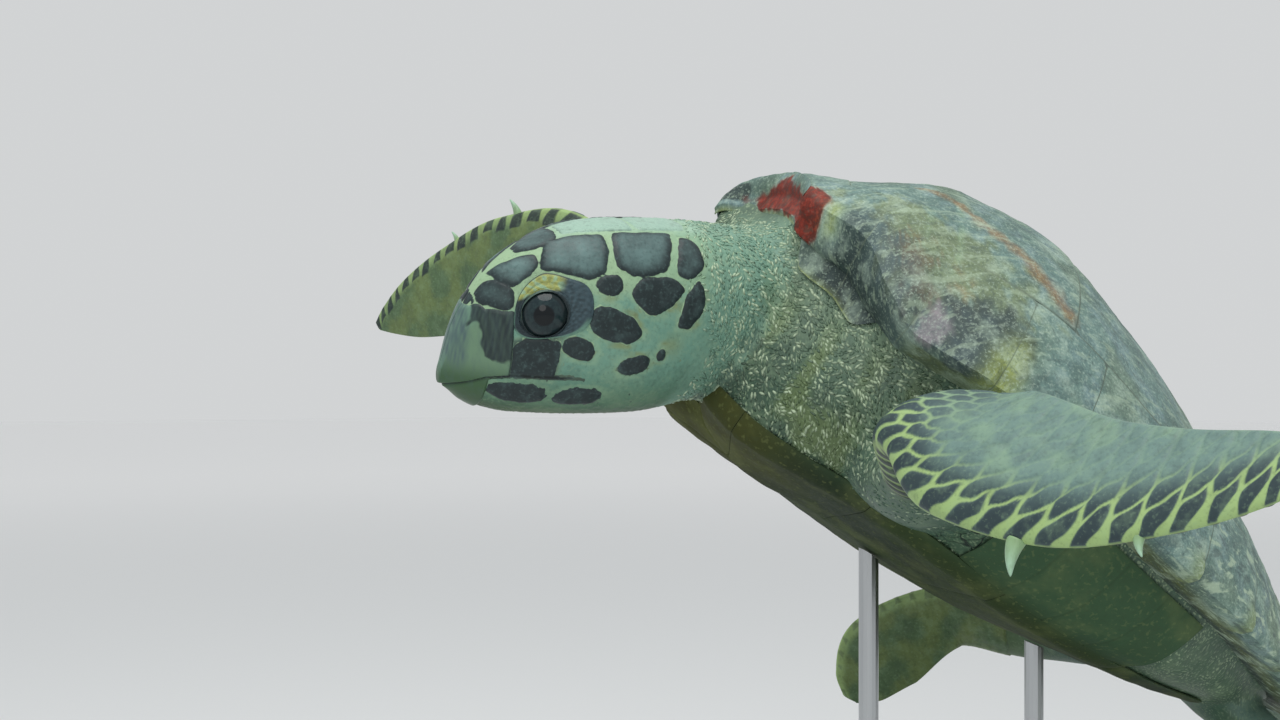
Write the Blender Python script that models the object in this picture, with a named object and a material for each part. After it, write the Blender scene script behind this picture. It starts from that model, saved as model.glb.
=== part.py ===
"""A hawksbill sea turtle, life size and still, swimming nose-up on a plain display stand.

Metres, +Z up. The origin is the centre of the underside of the stand's base. The turtle
faces -Y and its left side is +X. The body is modelled level in shares of the straight
carapace length, in body axes (x left, y back, z up, midway along the carapace), and an
empty tilts it on the stand. The head has an empty of its own.
"""

import math

import bmesh
import bpy
import numpy as np
from mathutils import Matrix, Vector

# ---------------------------------------------------------------- driving dimensions
SCL = 0.62  # straight carapace length
GAP = 0.0003  # clearance where two pieces meet
WELD = 0.000002
PLATE_SMOOTH = 28.0  # degrees: a sharper turn on a shell plate stays an edge
PITCH = math.radians(38.7)  # nose up
ROLL = math.radians(7.0)  # left side down
BODY_AT = Vector((0.0, 0.07, 0.43))

HEAD_LENGTH = 0.315 * SCL  # back of the skull to the tip of the beak
HEAD_AT = Vector((0.004, -0.474, 0.208)) * SCL  # from BODY_AT, in world axes
HEAD_YAW = math.radians(3.0)  # towards its left
HEAD_ROLL = math.radians(20.0)  # its crown towards its left
EYE_RADIUS = 0.110 * HEAD_LENGTH

SCUTE_THIN = 0.0012  # front edge of a shell plate
SCUTE_THICK = 0.0040  # rear edge, which overlaps the next plate
PLASTRON_THICK = 0.0050
LIP = 0.052  # width of the rim's underside
LIP_START, LIP_FULL = 0.05, 0.10  # it begins at this share of its width and is full from that q
LIP_DROP = 0.008  # its inner edge hangs this far below the rim
KEEL_RISE = 0.010  # the breastplate's sides stand this far above its midline
SIDE_BULGE = 0.018  # of the flesh between the rim and the breastplate
TOOTH = 0.016  # how far the last rim plates' points stand out
SEGMENTS = 24  # steps along the shell: two for each rim plate

BASE_SIZE = Vector((0.40, 0.36, 0.020))
BASE_CORNER = 0.09
BASE_BEVEL = 0.004
ROD_RADIUS = 0.0075
ROD_STATIONS = (-0.17, 0.13)  # along the body's midline
FOOT_RADIUS = 0.022
FOOT_HEIGHT = 0.010

# ---------------------------------------------------------------- finishes
FINISHES = {
    "scute": ((0.20, 0.22, 0.15), 0.45, 0.0),
    "rim_scute": ((0.16, 0.17, 0.13), 0.45, 0.0),
    "plastron": ((0.62, 0.62, 0.30), 0.45, 0.0),
    "skin": ((0.26, 0.33, 0.24), 0.60, 0.0),
    "horn": ((0.50, 0.56, 0.36), 0.35, 0.0),
    "claw": ((0.66, 0.64, 0.42), 0.35, 0.0),
    "eye": ((0.02, 0.02, 0.02), 0.05, 0.0),
    "stand_base": ((0.05, 0.05, 0.055), 0.40, 0.0),
    "stand_metal": ((0.55, 0.56, 0.57), 0.30, 1.0),
}


def clear_scene():
    for old in list(bpy.data.objects):
        bpy.data.objects.remove(old, do_unlink=True)


def finish(slot):
    found = bpy.data.materials.get(slot)
    if found:
        return found
    colour, roughness, metallic = FINISHES[slot]
    material = bpy.data.materials.new(slot)
    material.use_nodes = True
    shader = material.node_tree.nodes["Principled BSDF"]
    shader.inputs["Base Color"].default_value = (*colour, 1.0)
    shader.inputs["Roughness"].default_value = roughness
    shader.inputs["Metallic"].default_value = metallic
    return material


# ---------------------------------------------------------------- curves
class Profile:
    """A smooth curve through a few stations (place, value), without overshoot."""

    def __init__(self, *stations):
        self.at = np.array([place for place, _ in stations], float)
        self.value = np.array([value for _, value in stations], float)
        rise = np.diff(self.value) / np.diff(self.at)
        before, after = rise[:-1], rise[1:]
        same_way = before * after > 0
        total = np.where(same_way, before + after, 1.0)
        inner = np.where(same_way, 2 * before * after / total, 0.0)
        self.slope = np.concatenate(([rise[0]], inner, [rise[-1]]))

    def __call__(self, place):
        place = min(max(place, self.at[0]), self.at[-1])
        i = min(int(np.searchsorted(self.at, place, side="right")) - 1, len(self.at) - 2)
        step = self.at[i + 1] - self.at[i]
        u = (place - self.at[i]) / step
        ends = (2 * u**3 - 3 * u**2 + 1) * self.value[i] + (3 * u**2 - 2 * u**3) * self.value[i + 1]
        bend = (u**3 - 2 * u**2 + u) * self.slope[i] + (u**3 - u**2) * self.slope[i + 1]
        return float(ends + step * bend)


def lerp(a, b, u):
    return a + (b - a) * u


# ---------------------------------------------------------------- meshes
def lattice(across, along, thick=False):
    """A grid of across x along faces whose vertices stand at whole numbers; a slab has layers 0 and 1."""
    bm = bmesh.new()
    bmesh.ops.create_grid(bm, x_segments=across, y_segments=along, size=0.5)
    for vertex in bm.verts:
        vertex.co = ((vertex.co.x + 0.5) * across, (vertex.co.y + 0.5) * along, 0.0)
    if thick:
        made = bmesh.ops.extrude_face_region(bm, geom=list(bm.faces))["geom"]
        upper = [item for item in made if isinstance(item, bmesh.types.BMVert)]
        bmesh.ops.translate(bm, verts=upper, vec=(0.0, 0.0, 1.0))
    return bm


def place_lattice(bm, shape):
    """Moves each vertex to shape(i, j, layer), welds what meets, closes the ends and turns faces out."""
    for vertex in bm.verts:
        i, j, layer = (round(value) for value in vertex.co)
        vertex.co = shape(i, j, layer)
    bmesh.ops.remove_doubles(bm, verts=bm.verts, dist=WELD)
    open_edges = [edge for edge in bm.edges if edge.is_boundary]
    if open_edges:
        bmesh.ops.holes_fill(bm, edges=open_edges, sides=0)
    bmesh.ops.recalc_face_normals(bm, faces=bm.faces)
    bmesh.ops.triangulate(bm, faces=bm.faces)
    if bm.calc_volume(signed=True) < 0:
        bmesh.ops.reverse_faces(bm, faces=bm.faces)
    return bm


def add_object(name, bm, slot, parent=None, smooth=35.0):
    mesh = bpy.data.meshes.new(name)
    bm.to_mesh(mesh)
    bm.free()
    mesh.shade_smooth()
    mesh.set_sharp_from_angle(angle=math.radians(smooth))
    mesh.materials.append(finish(slot))
    made = bpy.data.objects.new(name, mesh)
    made.parent = parent
    bpy.context.scene.collection.objects.link(made)
    return made


def add_cutter(name, bm, parent=None):
    cutter = add_object(name, bm, "skin", parent)
    cutter.hide_render = True
    cutter.display_type = "WIRE"
    return cutter


def cut(target, cutter, operation="DIFFERENCE"):
    modifier = target.modifiers.new(cutter.name, "BOOLEAN")
    modifier.operation = operation
    modifier.solver = "EXACT"
    modifier.object = cutter


# ---------------------------------------------------------------- the shell's surface
HALF_WIDTH = Profile(
    (0.0, 0.095), (0.035, 0.190), (0.09, 0.268), (0.18, 0.322), (0.30, 0.352), (0.43, 0.362),
    (0.56, 0.350), (0.70, 0.300), (0.82, 0.226), (0.92, 0.128), (1.0, 0.022),
)
RIM_Z = Profile(
    (0.0, 0.030), (0.035, 0.018), (0.07, -0.022), (0.11, -0.048), (0.22, -0.040), (0.45, -0.055),
    (0.70, -0.045), (1.0, -0.012),
)
CREST_Z = Profile(
    (0.0, 0.052), (0.07, 0.112), (0.16, 0.172), (0.28, 0.212), (0.40, 0.204), (0.54, 0.162),
    (0.68, 0.106), (0.82, 0.054), (0.93, 0.016), (1.0, -0.006),
)
BELLY_Z = Profile(
    (0.0, -0.228), (0.10, -0.228), (0.25, -0.208), (0.45, -0.190), (0.62, -0.152), (0.78, -0.100),
    (0.90, -0.068), (1.0, -0.040),
)
BELLY_HALF_WIDTH = Profile(
    (0.0, 0.050), (0.08, 0.130), (0.20, 0.200), (0.35, 0.238), (0.55, 0.236), (0.70, 0.190),
    (0.85, 0.120), (1.0, 0.018),
)
BELLY_Y = Profile((0.0, -0.430), (0.5, 0.010), (1.0, 0.455))
CHEVRON = 0.022  # how far the ridge plates' rear points trail
UNDER_CORNERS = (1.0, 1.2, 1.45, 2.0)  # rim, inner edge of its underside, breastplate's side, midline
# Half width of the ridge plates at steps along the shell: wide where two rib plates meet.
RIDGE_HALF_WIDTH = Profile(
    (0, 0.050), (1, 0.082), (3, 0.078), (5, 0.058), (7, 0.100), (10, 0.060), (12, 0.102), (14, 0.060),
    (17, 0.094), (19, 0.052), (22, 0.096), (24, 0.005),
)
RIM_BAND = Profile((0, 0.045), (3, 0.050), (10, 0.060), (18, 0.072), (22, 0.070), (24, 0.020))


def rim_stations():
    """Equal steps along the rim, as places along the length."""
    along = np.linspace(0.0, 1.0, 241)
    outline = np.array([(HALF_WIDTH(t), t) for t in along])
    run = np.concatenate(([0.0], np.cumsum(np.linalg.norm(np.diff(outline, axis=0), axis=1))))
    return run / run[-1], along


RIM_SHARE, RIM_ALONG = rim_stations()


def base_point(q, a):
    """The flesh under the shell's left half. q runs from front to rear. a is 0 on the ridge, 1 at
    the rim, 1.2 at the inner edge of the rim's underside, 1.45 at the breastplate's side and 2 on
    the belly's midline."""
    t = float(np.interp(q, RIM_SHARE, RIM_ALONG))
    rim_x, rim_y, rim_z = HALF_WIDTH(t), t - 0.5, RIM_Z(t)
    if a <= 1.0:
        ridge_share = ridge_edge(q)
        trail = CHEVRON * max(0.0, 1.0 - a / ridge_share) * math.sin(math.pi * q) ** 0.5
        x = a * rim_x
        y = lerp(q - 0.5, rim_y, a) + trail
        z = rim_z + (CREST_Z(q) - rim_z) * (1.0 - a * a) ** 0.66
        return np.array((x, y, z))
    lip_x = rim_x - min(LIP * min(1.0, LIP_START + q / LIP_FULL), 0.45 * rim_x)
    side_x = min(BELLY_HALF_WIDTH(q), 0.9 * lip_x)
    x = float(np.interp(a, UNDER_CORNERS, (rim_x, lip_x, side_x, 0.0)))
    y = BELLY_Y(q) + (rim_y - BELLY_Y(q)) * x / rim_x
    belly = BELLY_Z(q)
    z = float(np.interp(a, UNDER_CORNERS, (rim_z, rim_z - LIP_DROP, belly + KEEL_RISE, belly)))
    side_share = min(1.0, max(0.0, (a - 1.2) / 0.25))
    bulge = SIDE_BULGE * math.sin(math.pi * side_share)
    return np.array((x + 0.5 * bulge, y, z - 0.3 * bulge))


def cross_length(q):
    t = float(np.interp(q, RIM_SHARE, RIM_ALONG))
    return math.hypot(HALF_WIDTH(t), t - q)


def band_edge(q):
    """Where the rim plates begin, as a share of the way from the ridge to the rim."""
    return max(0.35, 1.0 - RIM_BAND(q * SEGMENTS) / cross_length(q))


def ridge_edge(q):
    """Where the ridge plates end."""
    return min(RIDGE_HALF_WIDTH(q * SEGMENTS) / cross_length(q), band_edge(q) - 0.012 / cross_length(q))


def base_normal(q, a):
    step = 0.012
    low, high = max(q - step, 0.0), min(q + step, 1.0)
    inner, outer = max(a - step, 0.0), min(a + step, 2.0)
    down = base_point(q, outer) - base_point(q, inner)
    back = base_point(high, a) - base_point(low, a)
    normal = np.cross(down, back)
    if a < step or a > 2.0 - step:
        normal[0] = 0.0
    return normal / (np.linalg.norm(normal) + 1e-12)


def shell_point(q, side, lift=0.0, outward=0.0):
    """A point over the flesh in metres; side is a with the sign of the body's side, lift in metres."""
    a = abs(side)
    point = base_point(q, a) * SCL + base_normal(q, a) * lift
    if outward:
        t = float(np.interp(q, RIM_SHARE, RIM_ALONG))
        ahead, behind = min(t + 0.01, 1.0), max(t - 0.01, 0.0)
        run = np.array((HALF_WIDTH(ahead) - HALF_WIDTH(behind), ahead - behind))
        point[0] += outward * run[1] / np.linalg.norm(run)
        point[1] -= outward * run[0] / np.linalg.norm(run)
    return Vector((math.copysign(1.0, side) * point[0], point[1], point[2]))


def side_lines(q):
    """Lines across the left half of the back at q: ridge, ridge edge, rib plates, rim band, rim."""
    ridge, band = ridge_edge(q), band_edge(q)
    ribs = [lerp(ridge, band, 0.33), lerp(ridge, band, 0.67)]
    return [0.0, ridge / 2, ridge, *ribs, band, lerp(band, 1.0, 0.5), 1.0]


END_BULGE = 0.002
UNDER_LINES = [1.2, 1.2833, 1.3667, 1.45, 1.63, 1.82, 2.0]
RIDGE, RIB, BAND = 2, 5, 7  # where those pieces end in side_lines


def ring_lines(q):
    """All the lines round the body at q, from the belly's midline up its right side and down its left."""
    left = side_lines(q) + UNDER_LINES
    return [-a for a in reversed(left[1:])] + left


def body_tube(lift_of):
    """The closed body, lifted by lift_of(a); used for the trunk and for its cutters."""
    count = len(ring_lines(0.5)) - 1
    ends = []
    for q, y_push in ((0.0, -1.0), (1.0, 1.0)):
        ring = [shell_point(q, side) for side in ring_lines(q)[1:]]
        middle = sum(ring, Vector()) / len(ring)
        ends.append(middle + Vector((0.0, y_push * (END_BULGE + lift_of(1.3)), 0.0)))

    def shape(i, j, _):
        if j in (0, SEGMENTS + 2):
            return ends[j > 0]
        q = (j - 1) / SEGMENTS
        side = 2.0 if i in (0, count) else ring_lines(q)[i]
        return shell_point(q, side, lift_of(abs(side)))

    return place_lattice(lattice(count, SEGMENTS + 2), shape)


def trunk(body):
    add_object("trunk", body_tube(lambda a: 0.0), "skin", body)


def envelope(body):
    """The trunk with its plates and a gap, which parts what grows out of it."""

    def lift(a):
        if a < 1.25:
            return SCUTE_THICK + 0.0016
        if a < 1.44:
            return GAP
        return PLASTRON_THICK + 2.5 * GAP

    return add_cutter("envelope", body_tube(lift), body)


def trunk_ahead(body):
    """The trunk moved forward by a little more than the gap, which parts the neck from its front."""
    bm = body_tube(lambda a: 0.0)
    bmesh.ops.translate(bm, verts=bm.verts, vec=(0.0, -1.5 * GAP, 0.0))
    return add_cutter("trunk_ahead", bm, body)


# ---------------------------------------------------------------- plates of the back
def plate(name, slot, body, q_range, sides, extra=0.0):
    """One plate: thin in front, thick behind. sides(q) lists its lines across."""
    first, last = q_range
    rows = last - first
    columns = len(sides(first / SEGMENTS)) - 1

    def shape(i, j, layer):
        q = (first + j) / SEGMENTS
        inset = 1.5 * GAP / SCL
        q_edge = inset * (j == 0) - inset * (j == rows)
        line = sides(q)
        across = inset / max(cross_length(q), 0.05)
        across = math.copysign(across, line[-1] - line[0])
        side = line[i] + across * (i == 0) - across * (i == columns)
        share = j / rows
        top = lerp(SCUTE_THIN, SCUTE_THICK, share**1.6) + extra
        return shell_point(min(max(q + q_edge, 0.0), 1.0), side, top if layer else 1.6 * GAP)

    add_object(name, place_lattice(lattice(columns, rows, True), shape), slot, body, PLATE_SMOOTH)


def mirrored(lines):
    return [-a for a in reversed(lines[1:])] + lines


def back_plates(body):
    plate("nuchal", "rim_scute", body, (0, 1), lambda q: mirrored(side_lines(q)[: RIB + 1]))
    ridge_seams = (1, 5, 10, 14, 19, 22)
    for number, (first, last) in enumerate(zip(ridge_seams, ridge_seams[1:]), 1):
        plate(f"vertebral_{number}", "scute", body, (first, last),
              lambda q: mirrored(side_lines(q)[: RIDGE + 1]), 0.0008)
    rib_seams = (1, 7, 12, 17, 22)
    for side, sign in (("left", 1.0), ("right", -1.0)):
        for number, (first, last) in enumerate(zip(rib_seams, rib_seams[1:]), 1):
            plate(f"costal_{side}_{number}", "scute", body, (first, last),
                  lambda q, sign=sign: [sign * a for a in side_lines(q)[RIDGE : RIB + 1]])


# ---------------------------------------------------------------- plates of the rim
TOOTH_STEPS = (0.0, 1.0, 1.86, 2.0)  # front, middle, point and start of the next
LIP_LINE = 1.185  # the plates wrap round the rim as far as this line
RIM_THIN = 0.0010
RIM_EXTRA = 0.0008
TAIL_OVERHANG = 0.014  # how far the last pair reaches past the flesh


def rim_line(step_share):
    """How far along one rim plate, from 0 at its front to 1 at its point, and back to 0."""
    return step_share / TOOTH_STEPS[2] if step_share <= TOOTH_STEPS[2] else 0.0


def rim_underlay(step, i, sign):
    """The inside of the rim's plates, on the trunk's own lines."""
    q = step / SEGMENTS
    band = band_edge(q)
    gap = 2 * GAP / SCL / max(cross_length(q), 0.05)
    lift = 3 * GAP
    if i < 2:
        return shell_point(q, sign * (band + gap if i == 0 else lerp(band, 1.0, 0.5)), lift)
    edge = shell_point(q, sign * 1.0, lift)
    return edge if i == 2 else edge.lerp(shell_point(q, sign * 1.2, lift), 0.92)


def rim_plates(body):
    """The eleven plates of each side's rim, joined, with their points, wrapped round the edge."""
    steps = [2 * number + step for number in range(11) for step in TOOTH_STEPS[:3]] + [22.0]
    for side, sign in (("left", 1.0), ("right", -1.0)):

        def shape(i, j, layer, sign=sign):
            step = steps[j]
            q = step / SEGMENTS
            share = rim_line(step % 2.0) if j < len(steps) - 1 else 1.0
            band = band_edge(q)
            gap = 2 * GAP / SCL / max(cross_length(q), 0.05)
            a = (band + gap, lerp(band, 1.0, 0.5), 1.0, LIP_LINE)[i]
            thick = lerp(RIM_THIN, SCUTE_THICK, share) + RIM_EXTRA
            out = 0.0
            if i == 2:
                out = TOOTH * SCL * share * lerp(0.25, 1.0, min(1.0, q * 1.15) ** 2)
            q_shift = GAP / SCL * ((j == 0) - (j == len(steps) - 1))
            if layer:
                return shell_point(q + q_shift, sign * a, thick, out)
            low = min(int(step), 21)
            ends = [rim_underlay(step_end, i, sign) for step_end in (low, low + 1)]
            return ends[0].lerp(ends[1], step - low + q_shift * SEGMENTS)

        bm = place_lattice(lattice(3, len(steps) - 1, True), shape)
        add_object(f"marginals_{side}", bm, "rim_scute", body, PLATE_SMOOTH)


def tail_plates(body):
    """The last pair of rim plates, above the tail."""
    lines = (0.0, 0.35, 0.7, 1.0, LIP_LINE)
    last = 2
    for side, sign in (("left", 1.0), ("right", -1.0)):

        def shape(i, j, layer, sign=sign):
            q = (22 + 0.75 * j) / SEGMENTS
            gap = GAP / SCL
            a = lines[i] + (gap / max(cross_length(q), 0.02) if i == 0 else 0.0)
            share = j / last
            lift = lerp(2 * RIM_THIN, SCUTE_THICK, share) if layer else 2.5 * GAP
            out = TOOTH * SCL * share * 0.8 if layer and i == 3 else 0.0
            place = shell_point(min(q + gap * (j == 0), 1.0), sign * a, lift, out)
            if j == last:
                place.y += TAIL_OVERHANG
            if i == 0:
                place.x = sign * GAP
            return place

        bm = place_lattice(lattice(len(lines) - 1, last, True), shape)
        add_object(f"supracaudal_{side}", bm, "rim_scute", body, PLATE_SMOOTH)


# ---------------------------------------------------------------- plates of the belly
BRIDGE_LINES = (1.225, 1.2833, 1.3667, 1.443)
BRIDGE_FROM, BRIDGE_STEPS = 8, 6  # steps along the shell
BRIDGE_THICK = 0.0035


def belly_plates(body):
    """Six bands of the breastplate, and the hard bridge on each side."""
    seams = (("gular", 0.4, 2), ("humeral", 2, 6), ("pectoral", 6, 10), ("abdominal", 10, 14),
             ("femoral", 14, 18), ("anal", 18, 21))
    lines = [1.47, 1.63, 1.82, 2.0]
    ring = lines + [-a for a in reversed(lines[:-1])]
    for name, first, last in seams:
        rows = max(2, round(last - first))

        def shape(i, j, layer, first=first, last=last, rows=rows):
            q = lerp(first, last, j / rows) / SEGMENTS + GAP / SCL * ((j == 0) - (j == rows))
            lift = PLASTRON_THICK if layer else 2 * GAP
            return shell_point(q, ring[i], lift)

        bm = place_lattice(lattice(len(ring) - 1, rows, True), shape)
        add_object(f"plastron_{name}", bm, "plastron", body, PLATE_SMOOTH)
    for side, sign in (("left", 1.0), ("right", -1.0)):

        def bridge(i, j, layer, sign=sign):
            lift = 2 * GAP + layer * BRIDGE_THICK * math.sin(math.pi * (j + 0.6) / (BRIDGE_STEPS + 1.2))
            return shell_point((BRIDGE_FROM + j) / SEGMENTS, sign * BRIDGE_LINES[i], lift)

        bm = place_lattice(lattice(len(BRIDGE_LINES) - 1, BRIDGE_STEPS, True), bridge)
        add_object(f"bridge_{side}", bm, "plastron", body, PLATE_SMOOTH)


# ---------------------------------------------------------------- head
# Shares of the head's length. Places run from 0 at the back of the skull to 1 at the beak's tip.
CROWN = Profile((0.0, 0.330), (0.2, 0.345), (0.4, 0.340), (0.54, 0.325), (0.65, 0.292), (0.75, 0.238),
                (0.85, 0.160), (0.93, 0.068), (0.975, -0.030), (1.0, -0.170))
CHIN = Profile((0.0, -0.300), (0.12, -0.322), (0.25, -0.335), (0.5, -0.345), (0.73, -0.350), (0.84, -0.332),
               (0.91, -0.300), (0.96, -0.262), (1.0, -0.235))
CHEEK = Profile((0.0, 0.285), (0.15, 0.295), (0.35, 0.305), (0.5, 0.285), (0.62, 0.245), (0.75, 0.185),
                (0.86, 0.130), (0.94, 0.085), (1.0, 0.022))
HEAD_PLACES = (0.0, 0.08, 0.18, 0.28, 0.38, 0.46, 0.53, 0.59, 0.65, 0.71, 0.77, 0.83, 0.88, 0.92, 0.955,
               0.98, 1.0)
HEAD_ROUND = 20
# The mouth's line from its corner to the hooked tip, and on beyond it.
MOUTH = ((0.62, -0.138), (0.735, -0.152), (0.88, -0.178), (0.95, -0.202), (1.0, -0.238), (1.3, -0.42))
BEAK_BACK = ((0.735, -0.152), (0.765, -0.06), (0.83, 0.04), (0.885, 0.16))
JAW_BACK = (0.46, -0.165)
BACK_LEAN = 0.42  # the back of the head leans with the front of the trunk


def head_ring(place, angle, grow=0.0):
    """A point of the head's skin; angle 0 points left and a quarter turn is up."""
    top, bottom, wide = CROWN(place), CHIN(place), CHEEK(place)
    middle = lerp(bottom, top, 0.46)
    c, s = math.cos(angle), math.sin(angle)
    squareness = lerp(2.5, 2.0, max(0.0, place - 0.6) / 0.4)
    reach = (abs(c) ** squareness + abs(s) ** squareness) ** (-1.0 / squareness)
    high = top - middle if s >= 0 else middle - bottom
    x = wide * c * reach
    z = middle + high * s * reach
    narrow = 1.0 - 0.16 * max(0.0, s) * math.sin(math.pi * min(1.0, place * 1.2))
    lean = BACK_LEAN * max(0.0, 1.0 - place / 0.3) * z
    point = Vector((x * narrow * HEAD_LENGTH, (lean - place) * HEAD_LENGTH, z * HEAD_LENGTH))
    return point + Vector((c, 0.0, s)) * grow


def head_solid():
    def shape(i, j, _):
        return head_ring(HEAD_PLACES[j], 2 * math.pi * (i % HEAD_ROUND) / HEAD_ROUND)

    return place_lattice(lattice(HEAD_ROUND, len(HEAD_PLACES) - 1), shape)


def side_prism(outline):
    """A prism across the head from an outline of (place, height) shares, wider than the head."""
    bm = bmesh.new()
    wide = 0.5 * HEAD_LENGTH
    ring = [bm.verts.new((-wide, -place * HEAD_LENGTH, z * HEAD_LENGTH)) for place, z in outline]
    face = bm.faces.new(ring)
    moved = bmesh.ops.extrude_face_region(bm, geom=[face])["geom"]
    upper = [item for item in moved if isinstance(item, bmesh.types.BMVert)]
    bmesh.ops.translate(bm, verts=upper, vec=(2 * wide, 0.0, 0.0))
    bmesh.ops.recalc_face_normals(bm, faces=bm.faces)
    if bm.calc_volume(signed=True) < 0:
        bmesh.ops.reverse_faces(bm, faces=bm.faces)
    return bm


def eye_centre(sign):
    """The eyeball sits in the head with about a fifth of its width outside."""
    place, height = 0.655, 0.072
    surface = max(head_ring(place, k * 0.02).x for k in range(-20, 40))
    return Vector((sign * (surface - 0.62 * EYE_RADIUS), -place * HEAD_LENGTH, height * HEAD_LENGTH))


def eye_ball(radius, sign):
    bm = bmesh.new()
    bmesh.ops.create_uvsphere(bm, u_segments=14, v_segments=8, radius=radius)
    bmesh.ops.rotate(bm, verts=bm.verts, cent=(0, 0, 0), matrix=Matrix.Rotation(math.radians(90), 3, "Y"))
    bmesh.ops.translate(bm, verts=bm.verts, vec=eye_centre(sign))
    bmesh.ops.triangulate(bm, faces=bm.faces)
    return bm


def head(head_pose):
    """The skull in skin, the horny beak above and jaw below it, and the eyeballs in their sockets."""
    slit = GAP / HEAD_LENGTH
    low = -0.60  # below the chin
    far, beak_top = MOUTH[-1][0], BEAK_BACK[-1][1]
    beak_area = [*BEAK_BACK, (far, beak_top), *reversed(MOUTH[2:])]
    jaw_area = [(JAW_BACK[0], low), JAW_BACK, *((place, z - slit) for place, z in MOUTH), (far, low)]
    front = [(BEAK_BACK[0][0] - slit, BEAK_BACK[0][1] + slit)]
    front += [(place - slit, z) for place, z in BEAK_BACK[1:]]
    front += [(far + slit, beak_top + slit), (far + slit, low - slit), (JAW_BACK[0] - slit, low - slit)]
    front += [(JAW_BACK[0] - slit, JAW_BACK[1] + slit), (MOUTH[0][0], MOUTH[0][1] + slit)]

    main = add_object("head", head_solid(), "skin", head_pose)
    cut(main, add_cutter("head_front_cut", side_prism(front), head_pose))
    for side, sign in (("left", 1.0), ("right", -1.0)):
        socket = add_cutter(f"eye_socket_{side}", eye_ball(EYE_RADIUS + GAP, sign), head_pose)
        cut(main, socket)
        add_object(f"eye_{side}", eye_ball(EYE_RADIUS, sign), "eye", head_pose)
    upper = add_object("beak_upper", head_solid(), "horn", head_pose)
    cut(upper, add_cutter("beak_area", side_prism(beak_area), head_pose), "INTERSECT")
    lower = add_object("jaw_lower", head_solid(), "horn", head_pose)
    cut(lower, add_cutter("jaw_area", side_prism(jaw_area), head_pose), "INTERSECT")


# ---------------------------------------------------------------- neck
NECK_ROOT = Vector((0.0, -0.27, -0.075)) * SCL
NECK_ROOT_HALF = Vector((0.150 * SCL, 0.0, 0.110 * SCL))
NECK_STEPS = 7


def neck_solid(to_body, grow=0.0):
    """Lofts the back of the head into the front of the trunk, in body axes."""
    back = (to_body.to_3x3() @ Vector((0.0, 1.0, 0.0))).normalized()

    def shape(i, j, _):
        angle = 2 * math.pi * (i % HEAD_ROUND) / HEAD_ROUND
        start = to_body @ head_ring(0.0, angle, grow) + back * (GAP - grow)
        c, s = math.cos(angle), math.sin(angle)
        end = NECK_ROOT + Vector((NECK_ROOT_HALF.x * c, 0.0, NECK_ROOT_HALF.z * s))
        end += Vector((c, 0.0, s)) * grow
        first = start + back * 0.10 * SCL
        last = end - Vector((0.0, 0.13 * SCL, 0.0)) + Vector((0.030 * SCL * c, 0.0, 0.004 * SCL * s))
        u = j / NECK_STEPS
        v = 1.0 - u
        return start * v**3 + first * 3 * v * v * u + last * 3 * v * u * u + end * u**3

    return place_lattice(lattice(HEAD_ROUND, NECK_STEPS), shape)


# ---------------------------------------------------------------- limbs and tail
class Limb:
    """A flattened limb along smooth stations, each (share of the length, centre, leading direction,
    half chord, half thickness)."""

    def __init__(self, stations):
        share = [station[0] for station in stations]
        columns = list(zip(*(tuple(s[1]) + tuple(s[2]) + (s[3], s[4]) for s in stations)))
        self.curves = [Profile(*zip(share, column)) for column in columns]

    def centre(self, u):
        return Vector([curve(u) for curve in self.curves[:3]])

    def frame(self, u):
        ahead, behind = min(u + 0.02, 1.0), max(u - 0.02, 0.0)
        run = (self.centre(ahead) - self.centre(behind)).normalized()
        lead = Vector([curve(u) for curve in self.curves[3:6]])
        lead = (lead - run * lead.dot(run)).normalized()
        return run, lead, lead.cross(run)

    def point(self, u, chord, upper, shift=0.0, grow=0.0):
        """chord is 1 at the leading edge and -1 at the trailing edge; upper is the sign of the face."""
        run, lead, out = self.frame(u)
        half, thick = self.curves[6](u), self.curves[7](u)
        bladed = min(1.0, max(0.0, (u - 0.35) / 0.25))
        plump = math.sqrt(max(0.0, 1.0 - chord * chord))
        blade = plump * (0.62 + 0.38 * chord) + 0.045 * (1.0 - chord)
        deep = thick * lerp(plump, blade, bladed) + 0.0006 * (chord < 0.999)
        place = self.centre(u) * SCL + run * shift
        return place + lead * (half * chord * SCL + grow * chord) + out * upper * (deep * SCL + grow)


LIMB_CHORDS = [math.cos(math.pi * k / 6) for k in range(7)]


def limb_solid(limb, steps, start_shift=0.0, end_shift=0.0, grow=0.0):
    ring = [(c, 1.0) for c in LIMB_CHORDS] + [(c, -1.0) for c in reversed(LIMB_CHORDS[1:])]
    count = len(ring)

    def shape(i, j, _):
        chord, upper = ring[i % count]
        shift = start_shift if j == 0 else (end_shift if j == len(steps) - 1 else 0.0)
        return limb.point(steps[j], chord, upper, shift, grow)

    return place_lattice(lattice(count, len(steps) - 1), shape)


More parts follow.
